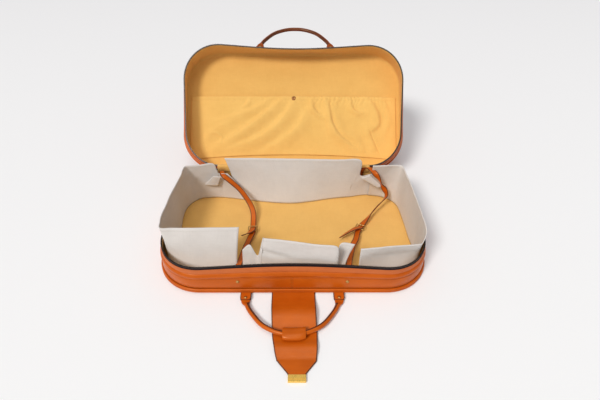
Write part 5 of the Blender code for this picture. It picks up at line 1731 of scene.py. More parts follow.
    def build(self, tools: Tools) -> None:
        """Makes the cloth, its seams and its stud."""
        points, plan = self.surface()
        grid = LID.world(points)
        mesh = MeshKit.grid("lid_pocket_cloth", grid, plane=plan)
        cotton = tools.finishes.pocket
        ride = Ride("lid")
        piece = tools.bench.put(
            "lid_pocket_cloth", mesh, Slot.COTTON, [cotton], ride, ["lid_pocket"], Shell(self.thickness, -1)
        )
        out = unit(np.cross(np.gradient(grid, axis=1), np.gradient(grid, axis=0)))
        hem_row = int(round(self.hem_depth / (self.hem - self.foot) * self.rows_down))
        foot_row = self.rows_down - 2
        lines = [(grid[row, 2:-2], out[row, 2:-2]) for row in (1, hem_row, foot_row)]
        lines += [(grid[2:-2, column], out[2:-2, column]) for column in (2, self.columns - 2)]
        tools.sew(
            "lid_pocket_stitches", lines, ride, tools.finishes.mustard_thread, Slot.COTTON, CLOTH_STITCH
        )
        self.add_snap(tools, points)

    def add_snap(self, tools: Tools, points: Rows) -> None:
        """The press stud in the middle of the hem."""
        row = int(round((self.hem - self.snap_distance) / (self.hem - self.foot) * self.rows_down))
        seat = points[row, self.columns // 2]
        profile = (
            (0.0, 0.0010), (0.0012, 0.0010), (0.0017, 0.0014), (0.0030, 0.0019), (0.0042, 0.0019),
            (0.0051, 0.0013), (0.0055, 0.0004), (0.0055, 0.0), (0.0020, -0.0004), (0.0020, -0.0040),
            (0.0, -0.0040)
        )
        place = LID.place @ Matrix.Translation(Vector(seat))
        mesh = MeshKit.turned("pocket_press_stud", profile, place)
        tools.bench.put(
            "pocket_press_stud", mesh, Slot.BRASS, [tools.finishes.bronze], Ride("lid"), ["pocket_snap"]
        )


@dataclass(frozen=True)
class DustWall:
    """One canvas wall: a table of uprights as shares of half the case, and its own folds."""

    name: str
    table: tuple[tuple[float, float, float, float, float], ...]
    folds: tuple[Fold, ...] = ()
    belly: float = 0.0
    belly_span: tuple[float, float] = (0.0, 1.0)
    seed: int = 1


@dataclass(frozen=True)
class Flap:
    """A small tab of canvas that hangs folded in front of a wall, by its four corners."""

    name: str
    behind: str
    corners: tuple[tuple[float, float, float], ...]
    bulge: float = 0.0014


@dataclass
class DustWalls:
    """The grey canvas that stands round the base and folds over what is packed."""

    height: float = 0.105
    thickness: float = 0.0013
    steps: int = 7
    rows_down: int = 26
    hem_depth: float = 0.0065
    foot_gap: float = 0.0008
    wave: float = 0.0007
    wave_length: float = 0.11
    ruck: float = 0.0004
    ruck_length: float = 0.03
    belly_peak: float = 0.72
    belly_return: float = 1.5
    left: DustWall = DustWall(
        "canvas_left_wrap",
        (
            (-0.430, 0.722, -0.552, 0.789, 0.676), (-0.515, 0.753, -0.592, 0.782, 0.686),
            (-0.604, 0.773, -0.628, 0.787, 0.695), (-0.609, 0.773, -0.659, 0.789, 0.945),
            (-0.691, 0.773, -0.763, 0.768, 0.945), (-0.789, 0.756, -0.833, 0.747, 0.945),
            (-0.844, 0.692, -0.880, 0.727, 0.955), (-0.885, 0.597, -0.891, 0.636, 0.975),
            (-0.909, 0.481, -0.893, 0.470, 0.990), (-0.916, 0.312, -0.905, 0.299, 1.000),
            (-0.909, 0.136, -0.918, 0.131, 1.000), (-0.916, -0.065, -0.933, -0.126, 1.000),
            (-0.925, -0.292, -0.942, -0.295, 1.000), (-0.920, -0.519, -0.938, -0.442, 1.000),
            (-0.891, -0.682, -0.926, -0.543, 1.000), (-0.818, -0.805, -0.855, -0.545, 0.995),
            (-0.709, -0.851, -0.727, -0.542, 0.990), (-0.582, -0.860, -0.545, -0.534, 0.990),
            (-0.405, -0.850, -0.381, -0.529, 0.990)
        ),
        seed=2
    )
    front: DustWall = DustWall(
        "canvas_front",
        (
            (-0.360, -0.860, -0.358, -0.701, 0.657), (-0.320, -0.860, -0.305, -0.675, 0.752),
            (-0.262, -0.860, -0.251, -0.727, 0.543), (-0.240, -0.860, -0.212, -0.706, 0.962),
            (-0.233, -0.860, -0.204, -0.705, 0.973), (-0.222, -0.860, -0.192, -0.706, 0.976),
            (-0.109, -0.857, -0.080, -0.734, 0.981), (0.043, -0.854, 0.043, -0.773, 0.981),
            (0.164, -0.857, 0.164, -0.802, 0.962), (0.291, -0.867, 0.296, -0.838, 0.962),
            (0.300, -0.867, 0.305, -0.799, 0.562), (0.309, -0.867, 0.331, -0.672, 0.781),
            (0.347, -0.867, 0.429, -0.679, 0.771)
        ),
        folds=(Fold(((0.095, 0.086), (0.120, 0.078), (0.150, 0.073)), 0.0045, 0.0032, 0.7),), seed=3
    )
    right: DustWall = DustWall(
        "canvas_right_wrap",
        (
            (0.458, -0.864, 0.460, -0.788, 0.838), (0.545, -0.864, 0.593, -0.756, 0.838),
            (0.673, -0.851, 0.735, -0.723, 0.838), (0.782, -0.818, 0.865, -0.705, 0.848),
            (0.873, -0.714, 0.895, -0.688, 0.857), (0.916, -0.552, 0.927, -0.594, 0.924),
            (0.924, -0.422, 0.929, -0.503, 0.990), (0.927, -0.272, 0.926, -0.288, 1.000),
            (0.916, -0.065, 0.923, -0.060, 1.000), (0.911, 0.155, 0.912, 0.245, 1.000),
            (0.902, 0.390, 0.901, 0.439, 1.000), (0.887, 0.582, 0.895, 0.597, 1.000),
            (0.847, 0.701, 0.884, 0.708, 1.000), (0.771, 0.792, 0.829, 0.724, 1.000),
            (0.690, 0.825, 0.742, 0.710, 1.000), (0.651, 0.828, 0.644, 0.708, 1.000)
        ),
        belly=0.0055, belly_span=(0.0, 0.34), seed=4
    )
    rear: DustWall = DustWall(
        "canvas_rear",
        (
            (-0.500, 0.775, -0.571, 0.878, 1.000), (-0.378, 0.712, -0.480, 0.874, 1.005),
            (-0.255, 0.675, -0.364, 0.870, 1.010), (-0.109, 0.647, -0.164, 0.864, 1.010),
            (0.012, 0.645, 0.010, 0.859, 1.010), (0.164, 0.688, 0.182, 0.852, 1.010),
            (0.317, 0.747, 0.364, 0.846, 1.005), (0.473, 0.789, 0.554, 0.840, 1.000),
            (0.484, 0.792, 0.562, 0.828, 0.600), (0.545, 0.818, 0.635, 0.834, 0.610),
            (0.600, 0.836, 0.660, 0.845, 0.610), (0.660, 0.845, 0.700, 0.850, 0.610)
        ),
        seed=5
    )

    flaps: tuple[Flap, ...] = (
        Flap(
            "canvas_left_flap", "canvas_left_wrap",
            (
                (-0.1824, 0.1110, 0.0805), (-0.1657, 0.1110, 0.0782), (-0.1749, 0.1120, 0.0510),
                (-0.2065, 0.1120, 0.0535)
            )
        ),
        Flap(
            "canvas_right_flap", "canvas_right_wrap",
            (
                (0.1530, 0.1090, 0.0778), (0.1719, 0.1070, 0.0879), (0.2040, 0.1030, 0.0591),
                (0.1956, 0.1030, 0.0523)
            )
        )
    )

    def add_flap(self, tools: Tools, flap: Flap) -> None:
        """Makes one tab."""
        a, b, c, d = (np.array(corner) for corner in flap.corners)
        u, v = np.meshgrid(np.linspace(0, 1, 13), np.linspace(0, 1, 13))
        u, v = u[..., None], v[..., None]
        grid = (a * (1 - u) + b * u) * (1 - v) + (d * (1 - u) + c * u) * v
        grid[:, :, 1] -= flap.bulge * (np.sin(math.pi * u) * (0.4 + 0.6 * v))[..., 0]
        mesh = MeshKit.grid(flap.name + "_cloth", grid[::-1])
        piece = tools.bench.put(
            mesh.name, mesh, Slot.CANVAS, [tools.finishes.canvas], Ride("base"), (), Shell(self.thickness, 0)
        )

    def surface(self, wall: DustWall) -> Rows:
        """A wall's cloth, from its top hem down to its foot, as rows of columns."""
        fine = smooth_line(wall.table, self.steps)
        share = np.linspace(1, 0, self.rows_down + 1)[:, None]
        foot_z = FLOOR_TOP + self.foot_gap + self.thickness / 2
        x = (fine[:, 0] + (fine[:, 2] - fine[:, 0]) * share**2) * CASE_WIDTH / 2
        y = (fine[:, 1] + (fine[:, 3] - fine[:, 1]) * share) * CASE_DEPTH / 2
        z = foot_z + fine[:, 4] * share * self.height
        grid = np.stack([x, y, z], axis=-1)
        out = unit(np.cross(np.gradient(grid, axis=1), np.gradient(grid, axis=0)))
        along = np.concatenate([[0], np.cumsum(np.linalg.norm(np.diff(grid[0], axis=0), axis=1))])
        plan = np.stack([np.broadcast_to(along, z.shape), z], axis=-1)
        free = np.sin(np.clip(share * 1.1, 0, 1) * math.pi / 2)
        push = self.wave * ripple(plan, self.wave_length, wall.seed) * free
        push = push + self.ruck * ripple(plan, self.ruck_length, wall.seed + 20) * free
        for fold in wall.folds:
            push = push + fold.lift(plan)
        span_share = np.linspace(0, 1, z.shape[1])
        first, last = wall.belly_span
        inside = np.clip((span_share - first) / max(last - first, 1e-6), 0, 1)
        swell = wall.belly * np.sin(math.pi * inside) ** 0.8
        rise = np.sin(np.clip(share / self.belly_peak, 0, 1) * math.pi / 2) ** 2
        past = np.clip((share - self.belly_peak) / (1 - self.belly_peak), 0, 1)
        bend = rise - self.belly_return * past
        grid = grid + out * push[..., None]
        grid[:, :, 1] += swell * bend
        return grid

    def add_wall(self, tools: Tools, wall: DustWall) -> None:
        """Makes one wall with the stitches of its hem."""
        grid = self.surface(wall)
        mesh = MeshKit.grid(wall.name + "_cloth", grid)
        ride = Ride("base")
        canvas = tools.finishes.canvas
        piece = tools.bench.put(
            mesh.name, mesh, Slot.CANVAS, [canvas], ride, [wall.name], Shell(self.thickness, 0)
        )
        out = unit(np.cross(np.gradient(grid, axis=1), np.gradient(grid, axis=0)))
        lines = []
        for side in (-1, 1):
            level = self.rows_down * self.hem_depth / self.height
            low = int(math.floor(level))
            mixed = grid[low] + (grid[low + 1] - grid[low]) * (level - low)
            line = mixed + side * out[low] * self.thickness / 2
            lines.append((line[1:-1], side * out[low][1:-1]))
        tools.sew(
            f"{wall.name}_stitches", lines, ride, tools.finishes.grey_thread, Slot.CANVAS, CLOTH_STITCH
        )

    def build(self, tools: Tools) -> None:
        """Makes the four walls."""
        for wall in (self.left, self.front, self.right, self.rear):
            self.add_wall(tools, wall)
        for flap in self.flaps:
            self.add_flap(tools, flap)


def tube(name: str, line: Rows, radius: Rows, sides: int, closed: bool = False) -> bpy.types.Mesh:
    """A round bar along a line that lies about level.

    Args:
        name: The mesh's name.
        line: The bar's middle.
        radius: Its radius at each point.
        sides: How many faces round.
        closed: Whether the bar is a ring.

    Returns:
        The mesh.
    """
    if closed:
        around = np.vstack([line[-1:], line, line[:1]])
        ahead = headings(around)[1:-1]
    else:
        ahead = headings(line)
    wide = unit(np.cross(ahead, np.array([0.0, 0.0, 1.0])))
    high = np.cross(wide, ahead)
    turn = -2 * math.pi * np.arange(sides) / sides
    reach = np.asarray(radius)[:, None, None]
    grid = line[:, None, :] + reach * (
        np.cos(turn)[None, :, None] * wide[:, None, :] + np.sin(turn)[None, :, None] * high[:, None, :]
    )
    return MeshKit.grid(name, grid, wrap_rows=closed, wrap_columns=True, caps=not closed)


@dataclass(frozen=True)
class StrapRoute:
    """One packing strap: its stations as shares, its seats and its buckle."""

    side: str
    rear: tuple[tuple[float, float, float, float, float], ...]
    tail: tuple[tuple[float, float, float, float, float], ...]
    front: tuple[tuple[float, float, float, float, float], ...]
    rear_seat: float
    front_seat: float
    buckle: tuple[float, float, float]
    heading: float


@dataclass
class PackingStraps:
    """The two leather straps across the base, each with a buckle."""

    width: float = 0.0125
    thickness: float = 0.0019
    crown: float = 0.00025
    steps: int = 8
    rear_seat_z: float = 0.030
    front_seat_z: float = 0.030
    end: float = 0.008
    buckle_width: float = 0.0185
    buckle_length: float = 0.0130
    wire: float = 0.0010
    rise: float = 0.0028
    drop: float = 0.0010
    wall_depth: float = 0.0046
    stitch_inset: float = 0.0019
    point_run: float = 1.6
    point_stitch_stop: float = 1.8
    left: StrapRoute = StrapRoute(
        "left",
        (
            (-0.609, 0.896, 1.020, 0, 0), (-0.602, 0.830, 1.110, 5, 0), (-0.580, 0.745, 1.110, 25, 0),
            (-0.541, 0.711, 1.010, 43, 0), (-0.491, 0.679, 0.850, 45, 0), (-0.449, 0.633, 0.736, 43, 0),
            (-0.406, 0.559, 0.600, 40, 0), (-0.371, 0.484, 0.486, 35, 0), (-0.344, 0.395, 0.400, 22, 0),
            (-0.330, 0.308, 0.314, 8, 0), (-0.327, 0.201, 0.236, 0, 0)
        ),
        (
            (-0.344, -0.045, 0.293, -35, 25), (-0.376, -0.075, 0.264, -62, 50),
            (-0.411, -0.088, 0.229, -75, 60)
        ),
        (
            (-0.331, -0.052, 0.214, 0, 0), (-0.342, -0.133, 0.229, -14, 0), (-0.360, -0.288, 0.286, -15, 0),
            (-0.369, -0.406, 0.357, -12, 0), (-0.377, -0.528, 0.443, -8, 0), (-0.383, -0.658, 0.540, -5, 0),
            (-0.393, -0.790, 0.640, -3, 0), (-0.398, -0.880, 0.640, -2, 0)
        ),
        -0.6109, -0.3927, (-0.327, 0.055, 0.229), 0
    )
    right: StrapRoute = StrapRoute(
        "right",
        (
            (0.576, 0.909, 1.057, 0, 0), (0.596, 0.856, 1.260, 0, 0), (0.622, 0.774, 1.400, 5, 0),
            (0.655, 0.700, 1.380, 12, 5), (0.688, 0.656, 1.260, 10, 40), (0.724, 0.640, 1.020, 0, 70),
            (0.760, 0.649, 0.757, -5, 0), (0.785, 0.630, 0.529, -40, 25), (0.767, 0.578, 0.429, -50, 55),
            (0.707, 0.471, 0.357, -45, 70), (0.650, 0.347, 0.314, -42, 70), (0.602, 0.237, 0.264, -38, 40)
        ),
        (
            (0.500, 0.012, 0.336, -45, 15), (0.464, -0.030, 0.343, -58, 30),
            (0.425, -0.066, 0.314, -60, 40), (0.360, -0.140, 0.250, -60, 40)
        ),
        (
            (0.507, -0.036, 0.229, -23, 0), (0.487, -0.175, 0.286, -22, 0), (0.455, -0.310, 0.343, -20, 0),
            (0.428, -0.493, 0.443, -14, 0), (0.407, -0.646, 0.529, -12, 0), (0.395, -0.766, 0.600, -8, 0),
            (0.384, -0.864, 0.614, -3, 0)
        ),
        0.5745, 0.3782, (0.538, 0.084, 0.236), -27
    )

    def stations(self, table: Sequence[Sequence[float]]) -> list[tuple[float, ...]]:
        """A table's rows in metres and radians."""
        return [
            (
                x * CASE_WIDTH / 2, y * CASE_DEPTH / 2, z * BASE_HEIGHT, math.radians(heading),
                math.radians(roll)
            ) for x,
            y, z, heading, roll in table
        ]

    def lay(self, stations: Sequence[Sequence[float]]) -> tuple[Rows, Rows]:
        """A strap's middle line and the way across it at each point."""
        fine = smooth_line(stations, self.steps)
        line = fine[:, :3]
        level = np.stack([np.cos(fine[:, 3]), np.sin(fine[:, 3]), np.zeros(len(fine))], axis=1)
        across, high = strip_axes(line, level)
        roll = fine[:, 4:5]
        return line, across * np.cos(roll) + high * np.sin(roll)

    def add_strap(
        self, tools: Tools, name: str, stations: Sequence[Sequence[float]], pointed: bool, node: str
    ) -> None:
        """Makes one strap with its burnished edges and its stitches."""
        line, across = self.lay(stations)
        ribbon = Ribbon(self.thickness, self.crown)
        lengths = np.concatenate([[0], np.cumsum(np.linalg.norm(np.diff(line, axis=0), axis=1))])
        half = np.full(len(line), self.width / 2)
        if pointed:
            left = (lengths[-1] - lengths) / (self.point_run * self.width)
            half *= np.clip(np.sqrt(np.clip(left, 0.004, 1)), 0.1, 1)
        finishes = tools.finishes
        mesh = ribbon.mesh(name, line, across, half)
        ride = Ride("base")
        tools.bench.put(name, mesh, Slot.LEATHER, [finishes.leather, finishes.edge], ride, [node])
        keep = lengths < lengths[-1] - (self.point_stitch_stop * self.width if pointed else 0.002)
        lines = []
        for side in (-1, 1):
            for face in (-1, 1):
                track, out = ribbon.track(line, across, side * (self.width / 2 - self.stitch_inset), face)
                lines.append((track[keep], out[keep]))
        tools.sew(f"{name}_stitches", lines, ride, finishes.tan_thread)

    def add_buckle(self, tools: Tools, route: StrapRoute, place: Matrix) -> None:
        """Makes the buckle's frame and its prong."""
        half_length = self.buckle_length / 2
        half_width = self.buckle_width / 2
        turn = 2.4 * self.wire
        loop = []
        for x, y, start in ((1, 1, 0), (-1, 1, 90), (-1, -1, 180), (1, -1, 270)):
            for angle in np.radians(np.linspace(start, start + 90, 7)):
                loop.append(
                    (
                        x * (half_width - turn) + turn * math.cos(angle),
                        y * (half_length - turn) + turn * math.sin(angle), 0
                    )
                )
        brass = tools.finishes.aged_brass
        ring = np.array(loop)
        mesh = tube(f"{route.side}_buckle_ring", ring, np.full(len(ring), self.wire), 12, closed=True)
        mesh.transform(place)
        ride = Ride("base")
        tools.bench.put(mesh.name, mesh, Slot.BRASS, [brass], ride, [f"{route.side}_buckle_frame"])
        run = np.linspace(-0.38, 0.54, 16)
        height = np.interp(run, (-0.38, -0.05, 0.54), (-0.10, 0.60, 0.95)) * self.rise
        line = np.stack([np.zeros_like(run), run * self.buckle_length, height], axis=1)
        radius = np.interp(run, (-0.38, 0.30, 0.54), (1.15, 0.85, 0.55)) * 0.75 * self.wire
        mesh = tube(f"{route.side}_buckle_tongue", line, radius, 10)
        mesh.transform(place)
        tools.bench.put(mesh.name, mesh, Slot.BRASS, [brass], ride, [f"{route.side}_buckle_prong"])

    def at_buckle(self, place: Matrix, heading: float, run: float, rise: float) -> tuple[float, ...]:
        """A station in the buckle's frame, whose Y runs along the strap."""
        point = place @ Vector((0, run, rise))
        return (*point, math.radians(heading), 0.0)

    def build(self, tools: Tools) -> None:
        """Makes both straps."""
        for route in (self.left, self.right):
            x, y, z = route.buckle
            where = Matrix.Translation((x * CASE_WIDTH / 2, y * CASE_DEPTH / 2, z * BASE_HEIGHT))
            place = where @ Matrix.Rotation(math.radians(route.heading), 4, "Z")
            self.add_buckle(tools, route, place)
            bar = self.buckle_length / 2
            rear_x = route.rear_seat * CASE_WIDTH / 2
            rear_y = BASE.plan_at(self.rear_seat_z).half_depth - self.wall_depth - self.thickness / 2
            rear = [
                (rear_x, rear_y, self.rear_seat_z - self.end, 0, 0),
                (rear_x, rear_y, self.rear_seat_z + self.end, 0, 0),
                (rear_x, rear_y, self.rear_seat_z + 3 * self.end, 0, 0), *self.stations(route.rear),
                self.at_buckle(place, route.heading, bar, -self.rise),
                self.at_buckle(place, route.heading, 0, 0),
                self.at_buckle(place, route.heading, -bar, self.rise), *self.stations(route.tail)
            ]
            self.add_strap(tools, f"{route.side}_rear_strap", rear, True, f"{route.side}_strap_rear")
            seat_x = route.front_seat * CASE_WIDTH / 2
            seats = []
            for z in (self.front_seat_z + self.end, self.front_seat_z, self.front_seat_z - self.end):
                seat = BASE.front(seat_x, z)
                seats.append((seat.x, seat.y + self.wall_depth + self.thickness / 2, z, 0, 0))
            end_run = -bar - self.wire - 3 * GAP
            front = [
                self.at_buckle(place, route.heading, end_run, -self.drop),
                self.at_buckle(place, route.heading, end_run - self.end / 2, -self.drop),
                *self.stations(route.front), *seats
            ]
            self.add_strap(tools, f"{route.side}_front_strap", front, False, f"{route.side}_strap_front")
        tools.bench.dress(("left_strap_rivet", "right_strap_rivet"), tools.finishes.aged_brass)


@dataclass
class Tongue:
    """The wide closing tongue, in the two stretches that its folds make, and its brass end."""

    hinge_y: float = -CASE_DEPTH / 2 - TONGUE_SETBACK
    hinge_z: float = 0.0030
    fold_length: float = 0.1365
    tip_length: float = 0.0270
    half_width: float = TONGUE_HALF_WIDTH
    drift: float = 0.006
    hump: float = 0.0125
    tip_base: float = 0.0012
    thickness: float = 0.0026
    under_board: float = 0.010
    sleeve_share: float = 0.676
    join_share: float = 0.672
    pitch: float = 0.0016
    stitch_inset: float = 0.0026
    ride_reach: float = 0.0045
    rows: tuple[tuple[float, float, float], ...] = (
        (0.000, 0.22, 1.000), (0.080, 0.32, 1.000), (0.180, 0.64, 1.000), (0.270, 0.92, 0.995),
        (0.326, 1.00, 0.990), (0.400, 0.88, 0.985), (0.500, 0.56, 0.980), (0.580, 0.40, 0.975),
        (0.660, 0.34, 0.970), (0.730, 0.44, 0.950), (0.817, 0.68, 0.920), (0.900, 0.54, 0.890),
        (0.960, 0.36, 0.850), (1.000, 0.30, 0.825)
    )
    tip_rows: tuple[tuple[float, float], ...] = (
        (0.12, 0.790), (0.30, 0.700), (0.52, 0.585), (0.74, 0.470), (0.90, 0.392), (1.00, 0.365),
        (1.28, 0.330)
    )

    def run(self, share: float) -> float:
        """How far along a share lies, with the hollow kept under the handle's sleeve."""
        under = HANDLE_REACH * math.cos(FRONT_HANDLE_TILT) + HANDLE_SETBACK - TONGUE_SETBACK
        if share < self.sleeve_share:
            return under * share / self.sleeve_share
        return under + (self.fold_length - under) * (share - self.sleeve_share) / (1 - self.sleeve_share)

    def stations(self) -> Rows:
        """Place of the tongue's middle and half its width, from under the board to its tip."""
        flat_z = self.thickness / 2
        found = [
            (0, self.hinge_y + self.under_board + 0.004, flat_z, self.half_width),
            (0, self.hinge_y + self.under_board / 2, flat_z, self.half_width)
        ]
        for share, height, width in self.rows:
            middle = max(height * self.hump - self.thickness / 2, flat_z)
            found.append(
                (self.drift * share**2, self.hinge_y - self.run(share), middle, width * self.half_width)
            )
        flat = self.tip_base + self.thickness / 2
        for share, width in self.tip_rows:
            found.append(
                (
                    self.drift, self.hinge_y - self.fold_length - share * self.tip_length, flat,
                    width * self.half_width
                )
            )
        return smooth_line(found, 9)

    def build(self, tools: Tools) -> None:
        """Makes both stretches, their stitches and the finish of the brass."""
        line = even_line(self.stations(), self.pitch)
        join_y = self.hinge_y - self.run(self.join_share)
        lower = line[:, 1] >= join_y
        split = int(lower.sum())
        edge_y = self.hinge_y - self.fold_length
        fold_z = self.tip_base + self.thickness
        reach = self.ride_reach
        lower_ride = Ride(
            "base", "tongue_lower", (0.0, self.hinge_y + reach, self.hinge_z),
            (0.0, self.hinge_y - reach, self.hinge_z)
        )
        upper_ride = Ride(
            "tongue_lower", "tongue_upper", (0.0, edge_y + reach, fold_z), (0.0, edge_y - reach, fold_z)
        )
        ribbon = Ribbon(self.thickness, 0.0, 26, 5)
        finishes = tools.finishes
        across = np.tile([1.0, 0.0, 0.0], (len(line), 1))
        pieces = (
            ("tongue_lower_leather", slice(0, split + 1), lower_ride, ["tongue_lower_flap", "tongue_root"]),
            ("tongue_upper_leather", slice(split, len(line)), upper_ride, ["tongue_upper_flap"])
        )
        for name, part, ride, nodes in pieces:
            mesh = ribbon.mesh(name, line[part, :3], across[part], line[part, 3])
            tools.bench.put(name, mesh, Slot.LEATHER, [finishes.leather, finishes.edge], ride, nodes)
            lines = []
            middle = line[part, :3]
            for side in (-1, 1):
                beside = middle.copy()
                beside[:, 0] += side * (line[part, 3] - self.stitch_inset)
                up = np.cross(headings(middle), across[part])
                shown = beside[:, 1] < -CASE_DEPTH / 2 + 0.002
                lines.append(((beside + up * self.thickness / 2)[shown], up[shown]))
            tools.sew(f"{name}_stitches", lines, ride, finishes.tan_thread)
        tools.bench.dress(("tongue_clip",), finishes.brass)


@dataclass
class CarryHandle:
    """A rolled carrying handle, its folded chapes, its rivets and, in front, its sleeve."""

    half: HalfShape
    label: str
    body: str
    offset: float
    tilt: float
    sleeved: bool = False
    reach: float = HANDLE_REACH
    half_width: float = 0.0905
    radius: float = 0.0045
    fold_y: float = -CASE_DEPTH / 2 - HANDLE_SETBACK
    fold_z: float = 0.0035
    tab_half_width: float = 0.0083
    tab_thickness: float = 0.0018
    tab_square: float = 0.3
    chape_width: float = 0.021
    chape_length: float = 0.016
    chape_layer: float = 0.0016
    bend_radius: float = 0.0020
    sleeve_length: float = 0.042
    sleeve_shift: float = 0.0030
    sleeve_half_width: float = 0.013
    sleeve_half_thickness: float = 0.007
    sleeve_wall: float = 0.0030
    sleeve_clearance: float = 0.0006
    sleeve_taper: float = 0.10
    sleeve_rings: int = 25
    sleeve_sides: int = 36
    sides: int = 22
    seam_rise: float = 0.10
    seam_shade_share: float = 0.60
    seam_shade_lean: float = math.radians(38)
    seam_spread: float = 0.05
    stitch_share: float = 0.34
    line_shares: tuple[tuple[float, float], ...] = (
        (1.000, 0.050), (1.000, 0.160), (0.960, 0.290), (0.860, 0.480), (0.640, 0.760), (0.410, 0.910),
        (0.190, 0.985), (0.000, 1.000)
    )
    chape_end: tuple[tuple[float, float], ...] = ((0.00, 1.00), (0.72, 1.00), (0.92, 0.85), (1.00, 0.55))

    def place(self) -> Matrix:
        """The handle's frame on its fold line, in the world."""
        fold = Matrix.Translation((self.offset, self.fold_y, self.fold_z))
        return self.half.place @ fold @ Matrix.Rotation(-self.tilt, 4, "X")

    def notches(self) -> list[tuple[float, float, float]]:
        """The place, width and depth of the panel's notches round the two chape roots."""
        places = (self.offset - self.half_width, self.offset + self.half_width)
        return [(place, self.chape_width, CHAPE_ROOT_REACH) for place in places]

    def centre_line(self) -> Rows:
        """The handle's middle from its right tab to its left one, in its own frame."""
        right = [(x * self.half_width, -run * self.reach, 0.0) for x, run in self.line_shares]
        left = [(-x, run, z) for x, run, z in reversed(right[:-1])]
        return smooth_line(right + left, 9)

    def centre_axes(self) -> tuple[Rows, Rows]:
        """The handle's middle line and the level way across it at each point."""
        line = self.centre_line()
        ahead = headings(line)
        return line, unit(np.stack([ahead[:, 1], -ahead[:, 0], np.zeros(len(line))], axis=1))

    def grip(self, name: str) -> bpy.types.Mesh:
        """The flat tabs that swell into a round bar, with the seam's ridge on the inner side and a dark band
        there, partly the seam's burnished edge and partly painted shade.
        """
        line, across = self.centre_axes()
        tab_run = self.chape_length + 2 * self.tab_thickness
        share = np.clip((-line[:, 1] - tab_run) / (2 * self.radius), 0, 1)
        share = share * share * (3 - 2 * share)
        wide = self.tab_half_width + (self.radius - self.tab_half_width) * share
        thick = self.tab_thickness / 2 + (self.radius - self.tab_thickness / 2) * share
        square = self.tab_square + (1 - self.tab_square) * share
        inward = np.sign(np.sum(across * -line, axis=1))
        rows = []
        for index, centre in enumerate(line):
            turn = 2 * math.pi * (np.arange(self.sides) + 0.5) / self.sides
            c, s = np.cos(turn), np.sin(turn)
            ridge = 1 + self.seam_rise * share[index] * np.exp(
                -(((1 - inward[index] * c) / self.seam_spread) ** 2)
            )
            x = np.sign(c) * np.abs(c) ** square[index] * wide[index] * ridge
            z = np.sign(s) * np.abs(s) ** square[index] * thick[index]
            rows.append(centre + np.outer(x, across[index]) + np.outer(z, (0, 0, 1)))
        mesh = MeshKit.grid(name, np.stack(rows), wrap_columns=True, caps=True)
        # Faces on the bar's inner side, leaned upward, take the dark edge finish: the seam's burnished edge,
        # widened into painted shade on that side.
        turn = 2 * math.pi * (np.arange(self.sides) + 1) / self.sides
        level = np.outer(inward[:-1], np.cos(turn)) * math.cos(self.seam_shade_lean)
        seam = level + np.sin(turn) * math.sin(self.seam_shade_lean) > self.seam_shade_share
        MeshKit.paint(mesh, (seam & (share[:-1, None] > 0.5)).astype(int))
        mesh.transform(self.place())
        return MeshKit.smoothed(MeshKit.outward(mesh))

    def add_grip(self, tools: Tools) -> None:
        """Makes the bar and the stitches of its seam."""
        name = f"{self.label}_handle_bar"
        ride = Ride(self.body)
        finishes = tools.finishes
        # The lid's handle takes the darker leather, which paints shade on it.
        leather = finishes.leather if self.sleeved else finishes.dark
        tools.bench.put(
            name, self.grip(name), Slot.LEATHER, [leather, finishes.edge], ride,
            [f"{self.label}_handle_grip"]
        )
        line, across = self.centre_axes()
        inward = np.sign(np.sum(across * -line, axis=1))[:, None]
        round_part = -line[:, 1] > self.chape_length + 2 * self.tab_thickness + 2 * self.radius
        rows = []
        for side in (-1, 1):
            lean = self.stitch_share * self.radius * side
            reach = math.sqrt(self.radius**2 - lean**2)
            seam = line + across * inward * reach
            seam[:, 2] += lean
            out = across * inward * reach
            out[:, 2] += lean
            rows.append((seam[round_part], unit(out[round_part])))
        self.sew(tools, name, rows)

    def sew(self, tools: Tools, name: str, rows: Sequence[tuple[Rows, Rows]]) -> None:
        """Sews lines of the handle's own frame on one of its pieces."""
        turn = np.array(self.place().to_3x3())
        shift = np.array(self.place().translation)
        placed = [(seam @ turn.T + shift, out @ turn.T) for seam, out in rows]
        tools.sew(f"{name}_stitches", placed, Ride(self.body), tools.finishes.tan_thread)

    def add_chape(self, tools: Tools, x: float, name: str, node: str) -> None:
        """Makes the doubled leather that folds with the handle."""
        top = [(-run * self.chape_length, self.bend_radius, width) for run, width in self.chape_end]
        bend = [
            (
                self.bend_radius * math.sin(math.radians(angle)),
                self.bend_radius * math.cos(math.radians(angle)), 1.0
            ) for angle in range(15, 180, 15)
        ]
        under = [(y, -z, width) for y, z, width in top]
        profile = smooth_line([*reversed(top), *bend, *under], 3)
        line = np.column_stack([np.full(len(profile), x), profile[:, 0], profile[:, 1]])
        across = np.tile([1.0, 0.0, 0.0], (len(line), 1))
        ribbon = Ribbon(self.chape_layer, 0.0, 10, 4)
        mesh = ribbon.mesh(name, line, across, profile[:, 2] * self.chape_width / 2)
        mesh.transform(self.place())
        finishes = tools.finishes
        # The lid's chapes take the darker leather, which paints shade on them.
        leather = finishes.leather if self.sleeved else finishes.dark
        tools.bench.put(
            name, MeshKit.outward(mesh), Slot.LEATHER, [leather, finishes.edge], Ride(self.body), [node]
        )
        height = self.bend_radius + self.chape_layer / 2
        rows = []
        for face in (-1, 1):
            runs = np.array([0.06, 0.40, 0.70, 0.90, 0.93, 0.90, 0.70, 0.40, 0.06]) * -self.chape_length
            shares = np.array([0.84, 0.84, 0.84, 0.62, 0.0, -0.62, -0.84, -0.84, -0.84])
            seam = np.column_stack(
                [x + shares * self.chape_width / 2, runs, np.full(len(runs), face * height)]
            )
            seam = smooth_line(seam, 6)
            out = np.tile([0.0, 0.0, float(face)], (len(seam), 1))
            rows.append((seam, out))
        self.sew(tools, name, rows)

